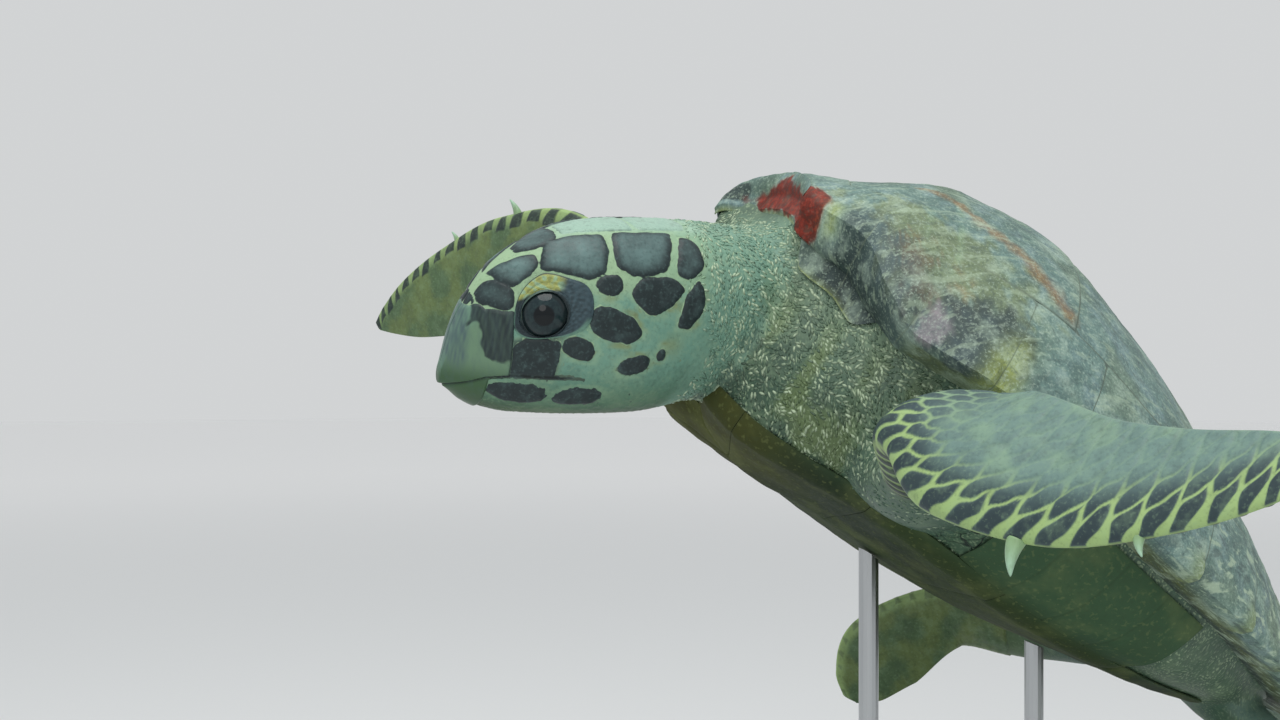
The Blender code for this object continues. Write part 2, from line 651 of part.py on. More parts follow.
# Body axes, shares of the carapace length. The left flipper sweeps out and back with its
# leading edge down; the right one reaches forward with its leading edge up.
FRONT_LEFT = Limb((
    (0.00, (0.13, -0.22, -0.125), (0.0, -0.9, -0.3), 0.080, 0.058),
    (0.14, (0.235, -0.255, -0.140), (0.0, -0.85, -0.45), 0.080, 0.054),
    (0.28, (0.343, -0.322, -0.142), (-0.15, -0.6, -0.75), 0.056, 0.042),
    (0.38, (0.420, -0.382, -0.134), (-0.3, -0.45, -0.8), 0.060, 0.030),
    (0.48, (0.505, -0.378, -0.146), (0.0, -0.1, -1.0), 0.074, 0.022),
    (0.60, (0.597, -0.350, -0.136), (0.1, 0.1, -1.0), 0.065, 0.017),
    (0.74, (0.683, -0.327, -0.104), (0.1, 0.1, -1.0), 0.050, 0.013),
    (0.88, (0.758, -0.310, -0.062), (0.2, 0.1, -1.0), 0.034, 0.009),
    (0.96, (0.790, -0.304, -0.042), (0.2, 0.1, -1.0), 0.018, 0.006),
    (1.00, (0.804, -0.302, -0.033), (0.2, 0.1, -1.0), 0.006, 0.003),
))
FRONT_RIGHT = Limb((
    (0.00, (-0.10, -0.24, -0.115), (0.0, -0.9, 0.2), 0.075, 0.060),
    (0.14, (-0.19, -0.35, -0.125), (0.0, -0.9, 0.3), 0.078, 0.056),
    (0.28, (-0.265, -0.46, -0.125), (0.1, -0.8, 0.5), 0.066, 0.040),
    (0.42, (-0.350, -0.555, -0.130), (0.0, -0.8, 0.6), 0.078, 0.026),
    (0.56, (-0.440, -0.595, -0.175), (-0.1, -0.8, 0.6), 0.078, 0.019),
    (0.72, (-0.535, -0.620, -0.235), (-0.1, -0.8, 0.6), 0.064, 0.014),
    (0.86, (-0.605, -0.638, -0.290), (-0.2, -0.8, 0.5), 0.044, 0.010),
    (0.96, (-0.650, -0.648, -0.325), (-0.2, -0.8, 0.5), 0.020, 0.006),
    (1.00, (-0.665, -0.652, -0.340), (-0.2, -0.8, 0.5), 0.006, 0.003),
))
HIND_LEFT = Limb((
    (0.00, (0.09, 0.28, -0.070), (0.8, 0.3, -0.2), 0.060, 0.034),
    (0.25, (0.175, 0.345, -0.085), (0.7, -0.5, -0.2), 0.062, 0.030),
    (0.50, (0.235, 0.425, -0.105), (0.8, -0.5, -0.3), 0.058, 0.018),
    (0.78, (0.285, 0.525, -0.135), (0.8, -0.4, -0.3), 0.068, 0.011),
    (0.93, (0.312, 0.580, -0.155), (0.8, -0.3, -0.3), 0.040, 0.006),
    (1.00, (0.322, 0.602, -0.163), (0.8, -0.3, -0.3), 0.012, 0.003),
))
HIND_RIGHT = Limb((
    (0.00, (-0.09, 0.27, -0.070), (-0.3, -0.8, 0.0), 0.060, 0.034),
    (0.25, (-0.185, 0.235, -0.110), (-0.3, -0.9, 0.0), 0.058, 0.030),
    (0.50, (-0.265, 0.170, -0.165), (-0.35, -0.8, -0.2), 0.052, 0.018),
    (0.78, (-0.315, 0.155, -0.255), (-0.35, -0.8, -0.3), 0.064, 0.011),
    (0.93, (-0.338, 0.168, -0.315), (-0.35, -0.8, -0.3), 0.040, 0.006),
    (1.00, (-0.347, 0.175, -0.338), (-0.35, -0.8, -0.3), 0.012, 0.003),
))
TAIL = Limb((
    (0.00, (0.0, 0.38, -0.052), (1.0, 0.0, 0.0), 0.050, 0.026),
    (0.45, (0.0, 0.47, -0.045), (1.0, 0.0, 0.0), 0.034, 0.022),
    (0.80, (0.0, 0.535, -0.058), (1.0, 0.0, 0.0), 0.018, 0.013),
    (1.00, (0.0, 0.565, -0.068), (1.0, 0.0, 0.0), 0.006, 0.005),
))
ARM_STEPS = (0.0, 0.07, 0.14, 0.21, 0.28, 0.34)
BLADE_STEPS = (0.34, 0.38, 0.42, 0.46, 0.51, 0.57, 0.64, 0.72, 0.79, 0.86, 0.92, 0.96, 1.0)
HIND_STEPS = (0.0, 0.13, 0.25, 0.38, 0.50, 0.64, 0.78, 0.86, 0.93, 1.0)
TAIL_STEPS = (0.0, 0.25, 0.5, 0.75, 0.9, 1.0)
# Each claw's place along its limb, and its length in metres.
CLAWS_LEFT = ((0.58, 0.020), (0.72, 0.011))
CLAWS_RIGHT = ((0.52, 0.014), (0.68, 0.009))
HIND_CLAW = (0.70, 0.012)


def claw(name, limb, u, length, body):
    """A short curved nail on the leading edge."""
    run, lead, out = limb.frame(u)
    root = limb.point(u, 1.0, 1.0)
    thick = 0.22 * length
    steps, sides = 3, 8

    def shape(i, j, _):
        angle = 2 * math.pi * (i % sides) / sides
        share = j / steps
        radius = thick * (1.0 - share) ** 0.7 + 0.0004
        middle = root + lead * (length * share + 2.2 * GAP) + run * (0.35 * length * share**2)
        return middle + (run * math.cos(angle) * 1.25 + out * math.sin(angle)) * radius

    add_object(name, place_lattice(lattice(sides, steps), shape), "claw", body)


def limbs(body, shell_cut, neck_cut):
    for side, limb, claws in (("left", FRONT_LEFT, CLAWS_LEFT), ("right", FRONT_RIGHT, CLAWS_RIGHT)):
        arm = add_object(f"front_arm_{side}", limb_solid(limb, ARM_STEPS), "skin", body)
        cut(arm, shell_cut)
        cut(arm, neck_cut)
        blade = limb_solid(limb, BLADE_STEPS, start_shift=GAP)
        add_object(f"front_blade_{side}", blade, "skin", body)
        for number, (u, length) in enumerate(claws, 1):
            claw(f"claw_{side}_{number}", limb, u, length, body)
    for side, limb in (("left", HIND_LEFT), ("right", HIND_RIGHT)):
        hind = add_object(f"hind_flipper_{side}", limb_solid(limb, HIND_STEPS), "skin", body)
        cut(hind, shell_cut)
        claw(f"hind_claw_{side}", limb, *HIND_CLAW, body)
    tail = add_object("tail", limb_solid(TAIL, TAIL_STEPS), "skin", body)
    cut(tail, shell_cut)


# ---------------------------------------------------------------- stand
def rounded_base():
    bm = bmesh.new()
    bmesh.ops.create_cube(bm, size=1.0)
    bmesh.ops.scale(bm, verts=bm.verts, vec=BASE_SIZE)
    bmesh.ops.translate(bm, verts=bm.verts, vec=(0.0, 0.0, BASE_SIZE.z / 2))
    upright = [e for e in bm.edges if abs(e.verts[0].co.z - e.verts[1].co.z) > BASE_SIZE.z / 2]
    bmesh.ops.bevel(bm, geom=upright, offset=BASE_CORNER, segments=6, profile=0.5, affect="EDGES",
                    material=-1)
    rim = [e for e in bm.edges if min(v.co.z for v in e.verts) > BASE_SIZE.z - 1e-5]
    bmesh.ops.bevel(bm, geom=rim, offset=BASE_BEVEL, segments=1, profile=0.5, affect="EDGES", material=-1)
    bmesh.ops.triangulate(bm, faces=bm.faces)
    return bm


def round_bar(radius, low, high, x, y, sides=14):
    bm = bmesh.new()
    bmesh.ops.create_cone(bm, cap_ends=True, segments=sides, radius1=radius, radius2=radius,
                          depth=high - low)
    bmesh.ops.translate(bm, verts=bm.verts, vec=(x, y, (low + high) / 2))
    bmesh.ops.triangulate(bm, faces=bm.faces)
    return bm


def stand(body, shell_cut):
    add_object("stand_base", rounded_base(), "stand_base")
    for name, station in zip(("front", "rear"), ROD_STATIONS):
        belly = body.matrix_world @ shell_point(station + 0.5, 2.0)
        foot_low = BASE_SIZE.z + GAP
        foot = round_bar(FOOT_RADIUS, foot_low, foot_low + FOOT_HEIGHT, belly.x, belly.y, 20)
        add_object(f"stand_foot_{name}", foot, "stand_metal")
        rod_low = foot_low + FOOT_HEIGHT + GAP
        bar = round_bar(ROD_RADIUS, rod_low, belly.z + 0.03, belly.x, belly.y)
        rod = add_object(f"stand_rod_{name}", bar, "stand_metal")
        cut(rod, shell_cut)


# ---------------------------------------------------------------- assembly
def pose(name, location, rotation):
    empty = bpy.data.objects.new(name, None)
    empty.matrix_world = Matrix.Translation(location) @ rotation
    bpy.context.scene.collection.objects.link(empty)
    return empty


def main():
    clear_scene()
    body_turn = Matrix.Rotation(-PITCH, 4, "X") @ Matrix.Rotation(ROLL, 4, "Y")
    head_turn = Matrix.Rotation(HEAD_YAW, 4, "Z") @ Matrix.Rotation(HEAD_ROLL, 4, "Y")
    body = pose("body_pose", BODY_AT, body_turn)
    head_pose = pose("head_pose", BODY_AT + HEAD_AT, head_turn)
    bpy.context.view_layer.update()

    trunk(body)
    shell_cut = envelope(body)
    back_plates(body)
    rim_plates(body)
    tail_plates(body)
    belly_plates(body)
    head(head_pose)
    to_body = body.matrix_world.inverted() @ head_pose.matrix_world
    neck = add_object("neck", neck_solid(to_body), "skin", body)
    cut(neck, shell_cut)
    cut(neck, trunk_ahead(body))
    neck_cut = add_cutter("neck_envelope", neck_solid(to_body, 2 * GAP), body)
    limbs(body, shell_cut, neck_cut)
    stand(body, shell_cut)


main()
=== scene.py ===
"""The looks of a life-size hawksbill sea turtle model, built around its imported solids.

Metres. Body coordinates: x to the turtle's left, y back, z up, in shares of the carapace
length, from the middle of the carapace. Head coordinates have an origin of their own.
"""
import math

import bmesh
import bpy
import numpy as np
from mathutils import Matrix, Vector
from mathutils.kdtree import KDTree


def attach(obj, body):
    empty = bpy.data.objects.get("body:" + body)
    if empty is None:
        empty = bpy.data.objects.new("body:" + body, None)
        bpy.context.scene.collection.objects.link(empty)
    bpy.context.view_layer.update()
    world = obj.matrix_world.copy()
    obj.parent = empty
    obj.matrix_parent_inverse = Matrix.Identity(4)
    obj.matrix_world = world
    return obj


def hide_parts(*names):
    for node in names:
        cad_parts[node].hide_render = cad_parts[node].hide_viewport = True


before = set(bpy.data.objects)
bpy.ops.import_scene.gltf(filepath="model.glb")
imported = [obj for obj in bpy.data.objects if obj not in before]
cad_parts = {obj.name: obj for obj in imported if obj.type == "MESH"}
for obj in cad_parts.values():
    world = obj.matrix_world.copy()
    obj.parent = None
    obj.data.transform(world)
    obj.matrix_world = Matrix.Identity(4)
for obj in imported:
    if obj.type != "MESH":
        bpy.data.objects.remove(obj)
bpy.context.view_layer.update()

# ---------------- dimensions, as the solids'
SCL = 0.62
PITCH, ROLL = math.radians(38.7), math.radians(7.0)
BODY_AT = Vector((0.0, 0.07, 0.43))
HEAD_LENGTH = 0.315 * SCL
HEAD_AT = Vector((0.004, -0.474, 0.208)) * SCL
HEAD_YAW, HEAD_ROLL = math.radians(3.0), math.radians(20.0)
COAT = 0.0007  # the skin lies this far inside the solids
BODY = Matrix.Translation(BODY_AT) @ Matrix.Rotation(-PITCH, 4, "X") @ Matrix.Rotation(ROLL, 4, "Y")
HEAD = (Matrix.Translation(BODY_AT + HEAD_AT) @ Matrix.Rotation(HEAD_YAW, 4, "Z")
        @ Matrix.Rotation(HEAD_ROLL, 4, "Y"))


# ---------------- numbers and colours
def lerp(a, b, u):
    return a + (b - a) * u


def ease(low, high, value):
    """0 below low, 1 above high, smooth between."""
    u = np.clip((np.asarray(value, float) - low) / (high - low), 0.0, 1.0)
    return u * u * (3.0 - 2.0 * u)


def soft_min(a, b, soft):
    h = np.clip(0.5 + 0.5 * (b - a) / soft, 0.0, 1.0)
    return lerp(b, a, h) - soft * h * (1.0 - h)


def placed(points, matrix):
    m = np.array(matrix)
    return points @ m[:3, :3].T + m[:3, 3]


def unit(v):
    return v / np.maximum(np.linalg.norm(v, axis=-1, keepdims=True), 1e-12)


def ripple(points, size, seed, waves=9):
    """Smooth irregular waves between about -1 and 1, size long."""
    rng = np.random.default_rng(seed)
    way = unit(rng.normal(size=(waves, 3))) * (2 * math.pi / size) * rng.uniform(0.6, 1.6, (waves, 1))
    return np.clip(np.sin(points @ way.T + rng.uniform(0, 2 * math.pi, waves)).mean(1) * 2.4, -1.0, 1.0)


def shade(red, green, blue):
    """A paint shade named as on screen, 0 to 255 a channel, in linear light."""
    c = np.array((red, green, blue)) / 255.0
    return np.where(c <= 0.04045, c / 12.92, ((c + 0.055) / 1.055) ** 2.4)


def rounded(place, at, size):
    """1 at a spot, falling to 0 a size away from it."""
    return np.exp(-((place - at) / size) ** 2)


class Profile:
    """A smooth curve through a few stations (place, value), without overshoot."""

    def __init__(self, *stations):
        self.at = np.array([place for place, _ in stations], float)
        self.value = np.array([value for _, value in stations], float)
        rise = np.diff(self.value) / np.diff(self.at)
        before, after = rise[:-1], rise[1:]
        same_way = before * after > 0
        total = np.where(same_way, before + after, 1.0)
        inner = np.where(same_way, 2 * before * after / total, 0.0)
        self.slope = np.concatenate(([rise[0]], inner, [rise[-1]]))

    def __call__(self, place):
        place = np.clip(np.asarray(place, float), self.at[0], self.at[-1])
        i = np.clip(np.searchsorted(self.at, place, side="right") - 1, 0, len(self.at) - 2)
        step = self.at[i + 1] - self.at[i]
        u = (place - self.at[i]) / step
        ends = (2 * u**3 - 3 * u**2 + 1) * self.value[i] + (3 * u**2 - 2 * u**3) * self.value[i + 1]
        bend = (u**3 - 2 * u**2 + u) * self.slope[i] + (u**3 - u**2) * self.slope[i + 1]
        return ends + step * bend


# ---------------- the shell's surface
HALF_WIDTH = Profile(
    (0.0, 0.095), (0.035, 0.190), (0.09, 0.268), (0.18, 0.322), (0.30, 0.352), (0.43, 0.362),
    (0.56, 0.350), (0.70, 0.300), (0.82, 0.226), (0.92, 0.128), (1.0, 0.022),
)
RIM_Z = Profile(
    (0.0, 0.030), (0.035, 0.018), (0.07, -0.022), (0.11, -0.048), (0.22, -0.040), (0.45, -0.055),
    (0.70, -0.045), (1.0, -0.012),
)
CREST_Z = Profile(
    (0.0, 0.052), (0.07, 0.118), (0.16, 0.180), (0.28, 0.207), (0.40, 0.190), (0.54, 0.147),
    (0.68, 0.095), (0.82, 0.048), (0.93, 0.016), (1.0, -0.006),
)
BELLY_Z = Profile(
    (0.0, -0.204), (0.05, -0.221), (0.10, -0.228), (0.25, -0.208), (0.45, -0.190), (0.62, -0.152),
    (0.78, -0.100), (0.90, -0.068), (1.0, -0.040),
)
BELLY_HALF_WIDTH = Profile(
    (0.0, 0.050), (0.08, 0.130), (0.20, 0.200), (0.35, 0.238), (0.55, 0.236), (0.70, 0.190),
    (0.85, 0.120), (1.0, 0.018),
)
BELLY_Y = Profile((0.0, -0.430), (0.5, 0.010), (1.0, 0.455))
CHEVRON = 0.022  # how far the plates' seams trail on the ridge
LIP, LIP_START, LIP_FULL, LIP_DROP = 0.052, 0.05, 0.10, 0.008
KEEL_RISE, SIDE_BULGE = 0.010, 0.018
CORNER = 0.026  # how much further forward the rim's front corner stands on the right
TOOTH = 0.016  # how far the rim's points stand out
SEGMENTS = 24  # equal steps along the rim, of which each rim plate takes two
CORNERS = (1.0, 1.2, 1.45, 2.0)  # the underside's corners, as a in base_point
FACE_LINE = 1.240  # how far under the rim its front plates reach
LIP_LINE = 1.185  # and its other plates
FRONT_FALL = 0.036  # height of the shell's front face
RIB_LEAST = 0.012  # least width of a rib plate
THINNEST = 0.0012  # least height of a plate's upper face over the flesh, in metres
SIDES = (("left", 1.0), ("right", -1.0))


def brow(q, side):
    """The thick front edge of the shell, over the neck."""
    a = np.abs(side)
    thick = 0.0095 * np.exp(-((q / 0.050) ** 2)) * ease(1.12, 0.98, a) + 0.0030 * np.exp(-((q / 0.014) ** 2))
    return thick * (1.0 - 0.95 * ease(-0.35, -1.0, side))


# by the steps along the rim: half width of the ridge's plates, and width of the rim's
RIDGE_HALF_WIDTH = Profile(
    (0, 0.050), (1, 0.082), (3, 0.078), (5, 0.058), (7, 0.100), (10, 0.060), (12, 0.102), (14, 0.060),
    (17, 0.094), (19, 0.052), (22, 0.096), (24, 0.005),
)
RIM_BAND = Profile((0, 0.045), (3, 0.050), (10, 0.060), (18, 0.072), (22, 0.070), (24, 0.020))


def rim_stations():
    """Equal steps along the rim, as places along the length."""
    along = np.linspace(0.0, 1.0, 241)
    outline = np.stack((HALF_WIDTH(along), along), 1)
    run = np.concatenate(([0.0], np.cumsum(np.linalg.norm(np.diff(outline, axis=0), axis=1))))
    return run / run[-1], along


RIM_SHARE, RIM_ALONG = rim_stations()


def across_under(a, values):
    """Runs through the values at the corners of the underside, rounded where side and belly meet."""
    spread = 0.10 * ease(1.20, 1.36, a) * ease(2.0, 1.8, a)
    total = 0.0
    for part in (-1.0, -0.5, 0.0, 0.5, 1.0):
        at = a + spread * part
        level = values[0] * 1.0
        for k in range(3):
            share = np.clip((at - CORNERS[k]) / (CORNERS[k + 1] - CORNERS[k]), 0.0, 1.0)
            level = level + (values[k + 1] - values[k]) * share
        total = total + 0.2 * level
    return total


def base_point(q, a):
    """The flesh under the shell's left half: q runs back, a is 0 on the ridge, 1 at the rim, 1.2 at
    the inner edge of its underside, 1.45 at the breastplate's side and 2 on the belly's midline."""
    t = np.interp(q, RIM_SHARE, RIM_ALONG)
    rim_x, rim_y, rim_z = HALF_WIDTH(t), t - 0.5, RIM_Z(t)
    top = np.minimum(a, 1.0)
    sway = np.maximum(np.sin(math.pi * q), 0.0) ** 0.5
    trail = CHEVRON * np.maximum(0.0, 1.0 - top / ridge_edge(q)) * sway
    dome = rim_z + (CREST_Z(q) - rim_z) * np.maximum(1.0 - top * top, 0.0) ** 0.66
    upper = np.stack((top * rim_x, lerp(q - 0.5, rim_y, top) + trail, dome), -1)
    lip_x = rim_x - np.minimum(LIP * np.minimum(1.0, LIP_START + q / LIP_FULL), 0.45 * rim_x)
    side_x = np.minimum(BELLY_HALF_WIDTH(q), 0.9 * lip_x)
    x = across_under(a, (rim_x, lip_x, side_x, 0.0 * rim_x))
    y = BELLY_Y(q) + (rim_y - BELLY_Y(q)) * x / rim_x
    belly = BELLY_Z(q)
    z = across_under(a, (rim_z, rim_z - LIP_DROP, belly + KEEL_RISE, belly))
    bulge = SIDE_BULGE * np.sin(math.pi * np.clip((a - 1.2) / 0.25, 0.0, 1.0))
    under = np.stack((x + 0.5 * bulge, y, z - 0.3 * bulge), -1)
    return np.where((a <= 1.0)[..., None], upper, under)


def cross_length(q):
    """Length of the line across from ridge to rim."""
    t = np.interp(q, RIM_SHARE, RIM_ALONG)
    return np.hypot(HALF_WIDTH(t), t - q)


def band_edge(q):
    """Where the rim's plates begin, as a in base_point."""
    return np.maximum(0.35, 1.0 - RIM_BAND(q * SEGMENTS) / cross_length(q))


def ridge_edge(q):
    """Where the ridge's plates end."""
    across = cross_length(q)
    return np.minimum(RIDGE_HALF_WIDTH(q * SEGMENTS) / across, band_edge(q) - RIB_LEAST / across)


def shell_point(q, side, lift=0.0, outward=0.0):
    """Points over the flesh, in metres of the body; side is a with the sign of the body's side. Below
    0, q goes down the shell's front face."""
    q, side = np.broadcast_arrays(np.asarray(q, float), np.asarray(side, float))
    a, step = np.abs(side), 0.012
    fall = np.maximum(-q, 0.0) * ease(1.15, 1.0, a)
    q = np.maximum(q, 0.0)
    low, high = np.maximum(q - step, 0.0), np.minimum(q + step, 1.0)
    inner, outer = np.maximum(a - step, 0.0), np.minimum(a + step, 2.0)
    normal = np.cross(base_point(q, outer) - base_point(q, inner), base_point(high, a) - base_point(low, a))
    middle = (a < step) | (a > 2.0 - step)
    normal[..., 0] = np.where(middle, 0.0, normal[..., 0])
    normal = unit(normal)
    facing = ease(0.0, 0.010, fall)[..., None]
    normal = unit(lerp(normal, normal * 0.15 + np.array((0.0, -1.0, 0.15)), facing))
    point = base_point(q, a) * SCL + normal * np.asarray(lift)[..., None]
    # in front the rim turns down into a broad face over the shoulder
    face = np.interp(q, (0.0, 0.05, 0.10, 0.14, 0.18), (0.024, 0.026, 0.020, 0.009, 0.0))
    point[..., 2] -= (fall + face * ease(1.0, 1.14, a) * ease(1.34, 1.20, a)) * SCL
    t = np.interp(q, RIM_SHARE, RIM_ALONG)
    ahead, behind = np.minimum(t + 0.01, 1.0), np.maximum(t - 0.01, 0.0)
    run = unit(np.stack((HALF_WIDTH(ahead) - HALF_WIDTH(behind), ahead - behind), -1))
    point[..., 0] += outward * run[..., 1]
    point[..., 1] -= outward * run[..., 0]
    point[..., 1] -= CORNER * SCL * ease(0.07, 0.0, q) * ease(-0.35, -1.0, side) * ease(-1.5, -1.2, side)
    point[..., 0] *= np.where(side < 0, -1.0, 1.0)
    return point


# ---------------- the head's surface
CROWN = Profile((0.0, 0.330), (0.2, 0.345), (0.4, 0.340), (0.54, 0.325), (0.65, 0.292), (0.75, 0.238),
                (0.85, 0.160), (0.93, 0.068), (0.975, -0.030), (1.0, -0.170))
CHIN = Profile((0.0, -0.300), (0.12, -0.322), (0.25, -0.335), (0.5, -0.345), (0.73, -0.350), (0.84, -0.332),
               (0.91, -0.300), (0.96, -0.262), (1.0, -0.235))
CHEEK = Profile((0.0, 0.285), (0.15, 0.295), (0.35, 0.305), (0.5, 0.285), (0.62, 0.245), (0.75, 0.185),
                (0.86, 0.130), (0.94, 0.085), (1.0, 0.022))
MOUTH = ((0.50, -0.145), (0.643, -0.156), (0.774, -0.170), (0.857, -0.192), (0.898, -0.212), (0.95, -0.236),
         (1.0, -0.262), (1.3, -0.42))
# the beak horn's rear edge: degrees round from the cheek, place
BEAK_BACK = ((-24, 0.783), (0, 0.786), (28, 0.790), (31, 0.826), (40, 0.880), (50, 0.899), (57, 0.914),
             (63, 0.930), (75, 0.940), (90, 0.943))
ROUND = Profile((0.0, 0.062), (0.5, 0.060), (0.75, 0.046), (0.90, 0.030), (1.0, 0.020))  # metres a radian
CHEEK_ROUND = 0.058  # metres a radian at the cheek, for the pattern's waves and the small scales
BACK_LEAN = 0.42  # slope of the head's open back end


def whole_angle(angle):
    """The same angle from -90 below the head over the crown to 270 degrees."""
    return np.mod(np.asarray(angle) + math.pi / 2, 2 * math.pi) - math.pi / 2


def fold_angle(angle):
    """The same angle for both sides of the head: -90 below, 0 at the cheek, 90 degrees on the crown."""
    angle = whole_angle(angle)
    return np.where(angle > math.pi / 2, math.pi - angle, angle)


def head_ring(place, angle, grow=0.0):
    """Points of the head's skin in metres of the head; angle 0 points left, a quarter turn is up."""
    top, bottom, wide = CROWN(place), CHIN(place), CHEEK(place)
    middle = lerp(bottom, top, 0.46)
    c, s = np.cos(angle), np.sin(angle)
    squareness = lerp(2.5, 2.0, np.maximum(0.0, place - 0.6) / 0.4)
    reach = (np.abs(c) ** squareness + np.abs(s) ** squareness) ** (-1.0 / squareness)
    x = wide * c * reach
    z = middle + np.where(s >= 0, top - middle, middle - bottom) * s * reach
    narrow = 1.0 - 0.16 * np.maximum(0.0, s) * np.sin(math.pi * np.minimum(1.0, place * 1.2))
    lean = BACK_LEAN * np.maximum(0.0, 1.0 - place / 0.3) * z
    hook = ease(0.82, 1.0, place)
    point = np.stack((x * narrow, lean - place + 0.024 * hook, z - 0.014 * hook), -1) * HEAD_LENGTH
    out = np.stack((c, 0.0 * c - 0.9 * ease(0.9, 1.0, place), s), -1)
    return point + unit(out) * np.asarray(grow)[..., None]


def head_stations():
    """Places along the head at equal steps of its crown, so that its steep front is as fine."""
    place = np.linspace(0.0, 1.0, 401)
    run = np.hypot(np.diff(place), np.diff(CROWN(place)))
    run = np.concatenate(([0.0], np.cumsum(run)))
    return run / run[-1], place


HEAD_SHARE, HEAD_PLACE = head_stations()
# The eye's opening and the outer edge of its lids, on the head's left side.
EYE_BALL = 0.0180
EYE_PLACE, EYE_TURN = 0.702, math.radians(21.5)
LID_PLACE, LID_TURN, LID_LENGTH = 0.682, math.radians(22.0), 0.110
LID_BACK, LID_SQUARE = 1.2, 2.6  # how much further they reach behind, and how square they are


def head_point(place, angle, sign):
    """One point on the left or right side of the head, and the way out of the skin there."""
    around = np.array((0.0, 0.0, 0.02, -0.02)) + angle
    around = around if sign > 0 else math.pi - around
    p = head_ring(place + np.array((0.01, -0.01, 0.0, 0.0)), around)
    out = unit(np.cross(p[0] - p[1], p[2] - p[3]))
    return p.mean(0), out * (1.0 if out[0] * sign > 0 else -1.0)


def eye_centre(sign):
    point, out = head_point(EYE_PLACE, EYE_TURN, sign)
    return point - 0.60 * EYE_BALL * out


def lid_height(along, over):
    """Angle from the lids' middle to their upper or lower edge: above, they are higher in front."""
    return np.radians(np.where(over > 0, lerp(17.0, 25.0, ease(-0.6, 0.3, along)), 14.5))


def lid_edge(turn):
    """The outer edge of the lids as steps of place and of angle from their middle."""
    c, s = np.cos(turn), np.sin(turn)
    reach = (np.abs(c) ** LID_SQUARE + np.abs(s) ** LID_SQUARE) ** (-1 / LID_SQUARE)
    return np.where(c < 0, LID_BACK, 1.0) * LID_LENGTH * c * reach, lid_height(c, s) * s * reach


def around_eye(place, angle):
    """0 at the middle of the lids, 1 at their outer edge."""
    along, over = (place - LID_PLACE) / LID_LENGTH, fold_angle(angle) - LID_TURN
    along = np.where(along < 0, along / LID_BACK, along)
    over = over / lid_height(along, over)
    return (np.abs(along) ** LID_SQUARE + np.abs(over) ** LID_SQUARE) ** (1 / LID_SQUARE)


# The head's large scutes on its left side: tone from 0 (dark) to 1 (pale), then corners as
# (place, degrees round from the cheek). Scutes with corners past 90 lie across the midline.
SCUTES = (
    (0.10, ((0.941, 87), (0.921, 88), (0.914, 66), (0.920, 58), (0.938, 63))),  # over the nostril
    (0.30, ((0.910, 75), (0.884, 75), (0.822, 54), (0.792, 42), (0.793, 32), (0.824, 31), (0.899, 50))),
    (0.95, ((0.862, 86), (0.775, 74), (0.720, 67), (0.715, 53), (0.745, 49), (0.790, 45), (0.832, 56))),
    (0.80, ((0.674, 74), (0.494, 68), (0.484, 54), (0.508, 40), (0.568, 37), (0.630, 42), (0.710, 50),
            (0.700, 63))),  # supraocular
    (0.70, ((0.446, 69), (0.256, 69), (0.264, 56), (0.290, 41), (0.343, 38), (0.410, 38), (0.463, 43),
            (0.468, 54))),  # parietal
    (0.40, ((0.240, 65), (0.203, 62), (0.183, 50), (0.186, 42), (0.221, 36), (0.266, 39), (0.246, 55))),
    (0.04, ((0.416, 29), (0.388, 36), (0.333, 37.5), (0.262, 36), (0.236, 31), (0.262, 24), (0.330, 18),
            (0.380, 21))),  # great temporal
    (0.05, ((0.196, 35), (0.166, 26), (0.172, 18), (0.202, 11), (0.248, 12), (0.240, 20), (0.232, 28))),
    (0.04, ((0.563, 19), (0.530, 23), (0.480, 21.5), (0.415, 17), (0.376, 9), (0.405, 4), (0.500, 5),
            (0.553, 11))),  # slanting scale behind the eye
    (0.06, ((0.788, 3), (0.762, 8), (0.709, 8), (0.645, 4), (0.644, -5), (0.652, -19), (0.782, -19))),
    (0.55, ((0.764, 80), (0.700, 70), (0.642, 73), (0.630, 84), (0.630, 96), (0.642, 107), (0.700, 110),
            (0.764, 100))),  # frontal
    (1.00, ((0.612, 78), (0.500, 73), (0.370, 73), (0.360, 90), (0.370, 107), (0.500, 107), (0.612, 102))),
    (0.95, ((0.345, 74), (0.215, 74), (0.200, 90), (0.215, 106), (0.345, 106), (0.350, 90))),
)
# Its smaller oval ones: tone, place, degrees, half length and half height in shares of the head, tilt
OVALS = (
    (0.05, 0.495, 33.7, 0.048, 0.029, 0),  # small temporal
    (0.05, 0.585, 0, 0.056, 0.034, 24),  # below the eye's rear
    (0.05, 0.390, -10, 0.056, 0.032, -14),  # low rear
    (0.25, 0.297, -4, 0.018, 0.022, 0),
    (0.04, 0.752, -34.5, 0.094, 0.050, 4),  # along the jaw
    (0.05, 0.555, -34.5, 0.080, 0.040, -6),  # throat
)


def panel_inside(place, angle, corners):
    """Metres inside a scute with these corners; its corners are rounded."""
    scale = np.array((HEAD_LENGTH, math.radians(1.0) * ROUND(np.mean([p for p, _ in corners]))))
    x, y = place * scale[0], np.degrees(angle) * scale[1]
    ends = np.array(corners) * scale
    total = np.zeros(x.shape)
    turn = np.sign((ends[:, 0] * np.roll(ends[:, 1], -1) - ends[:, 1] * np.roll(ends[:, 0], -1)).sum())
    for (ax, ay), (bx, by) in zip(ends, np.roll(ends, -1, axis=0)):
        far = ((bx - ax) * (y - ay) - (by - ay) * (x - ax)) / math.hypot(bx - ax, by - ay) * turn
        total += np.exp(-np.clip(far, -0.3, 0.3) / 0.0011)
    return 0.0010 - 0.0011 * np.log(total)


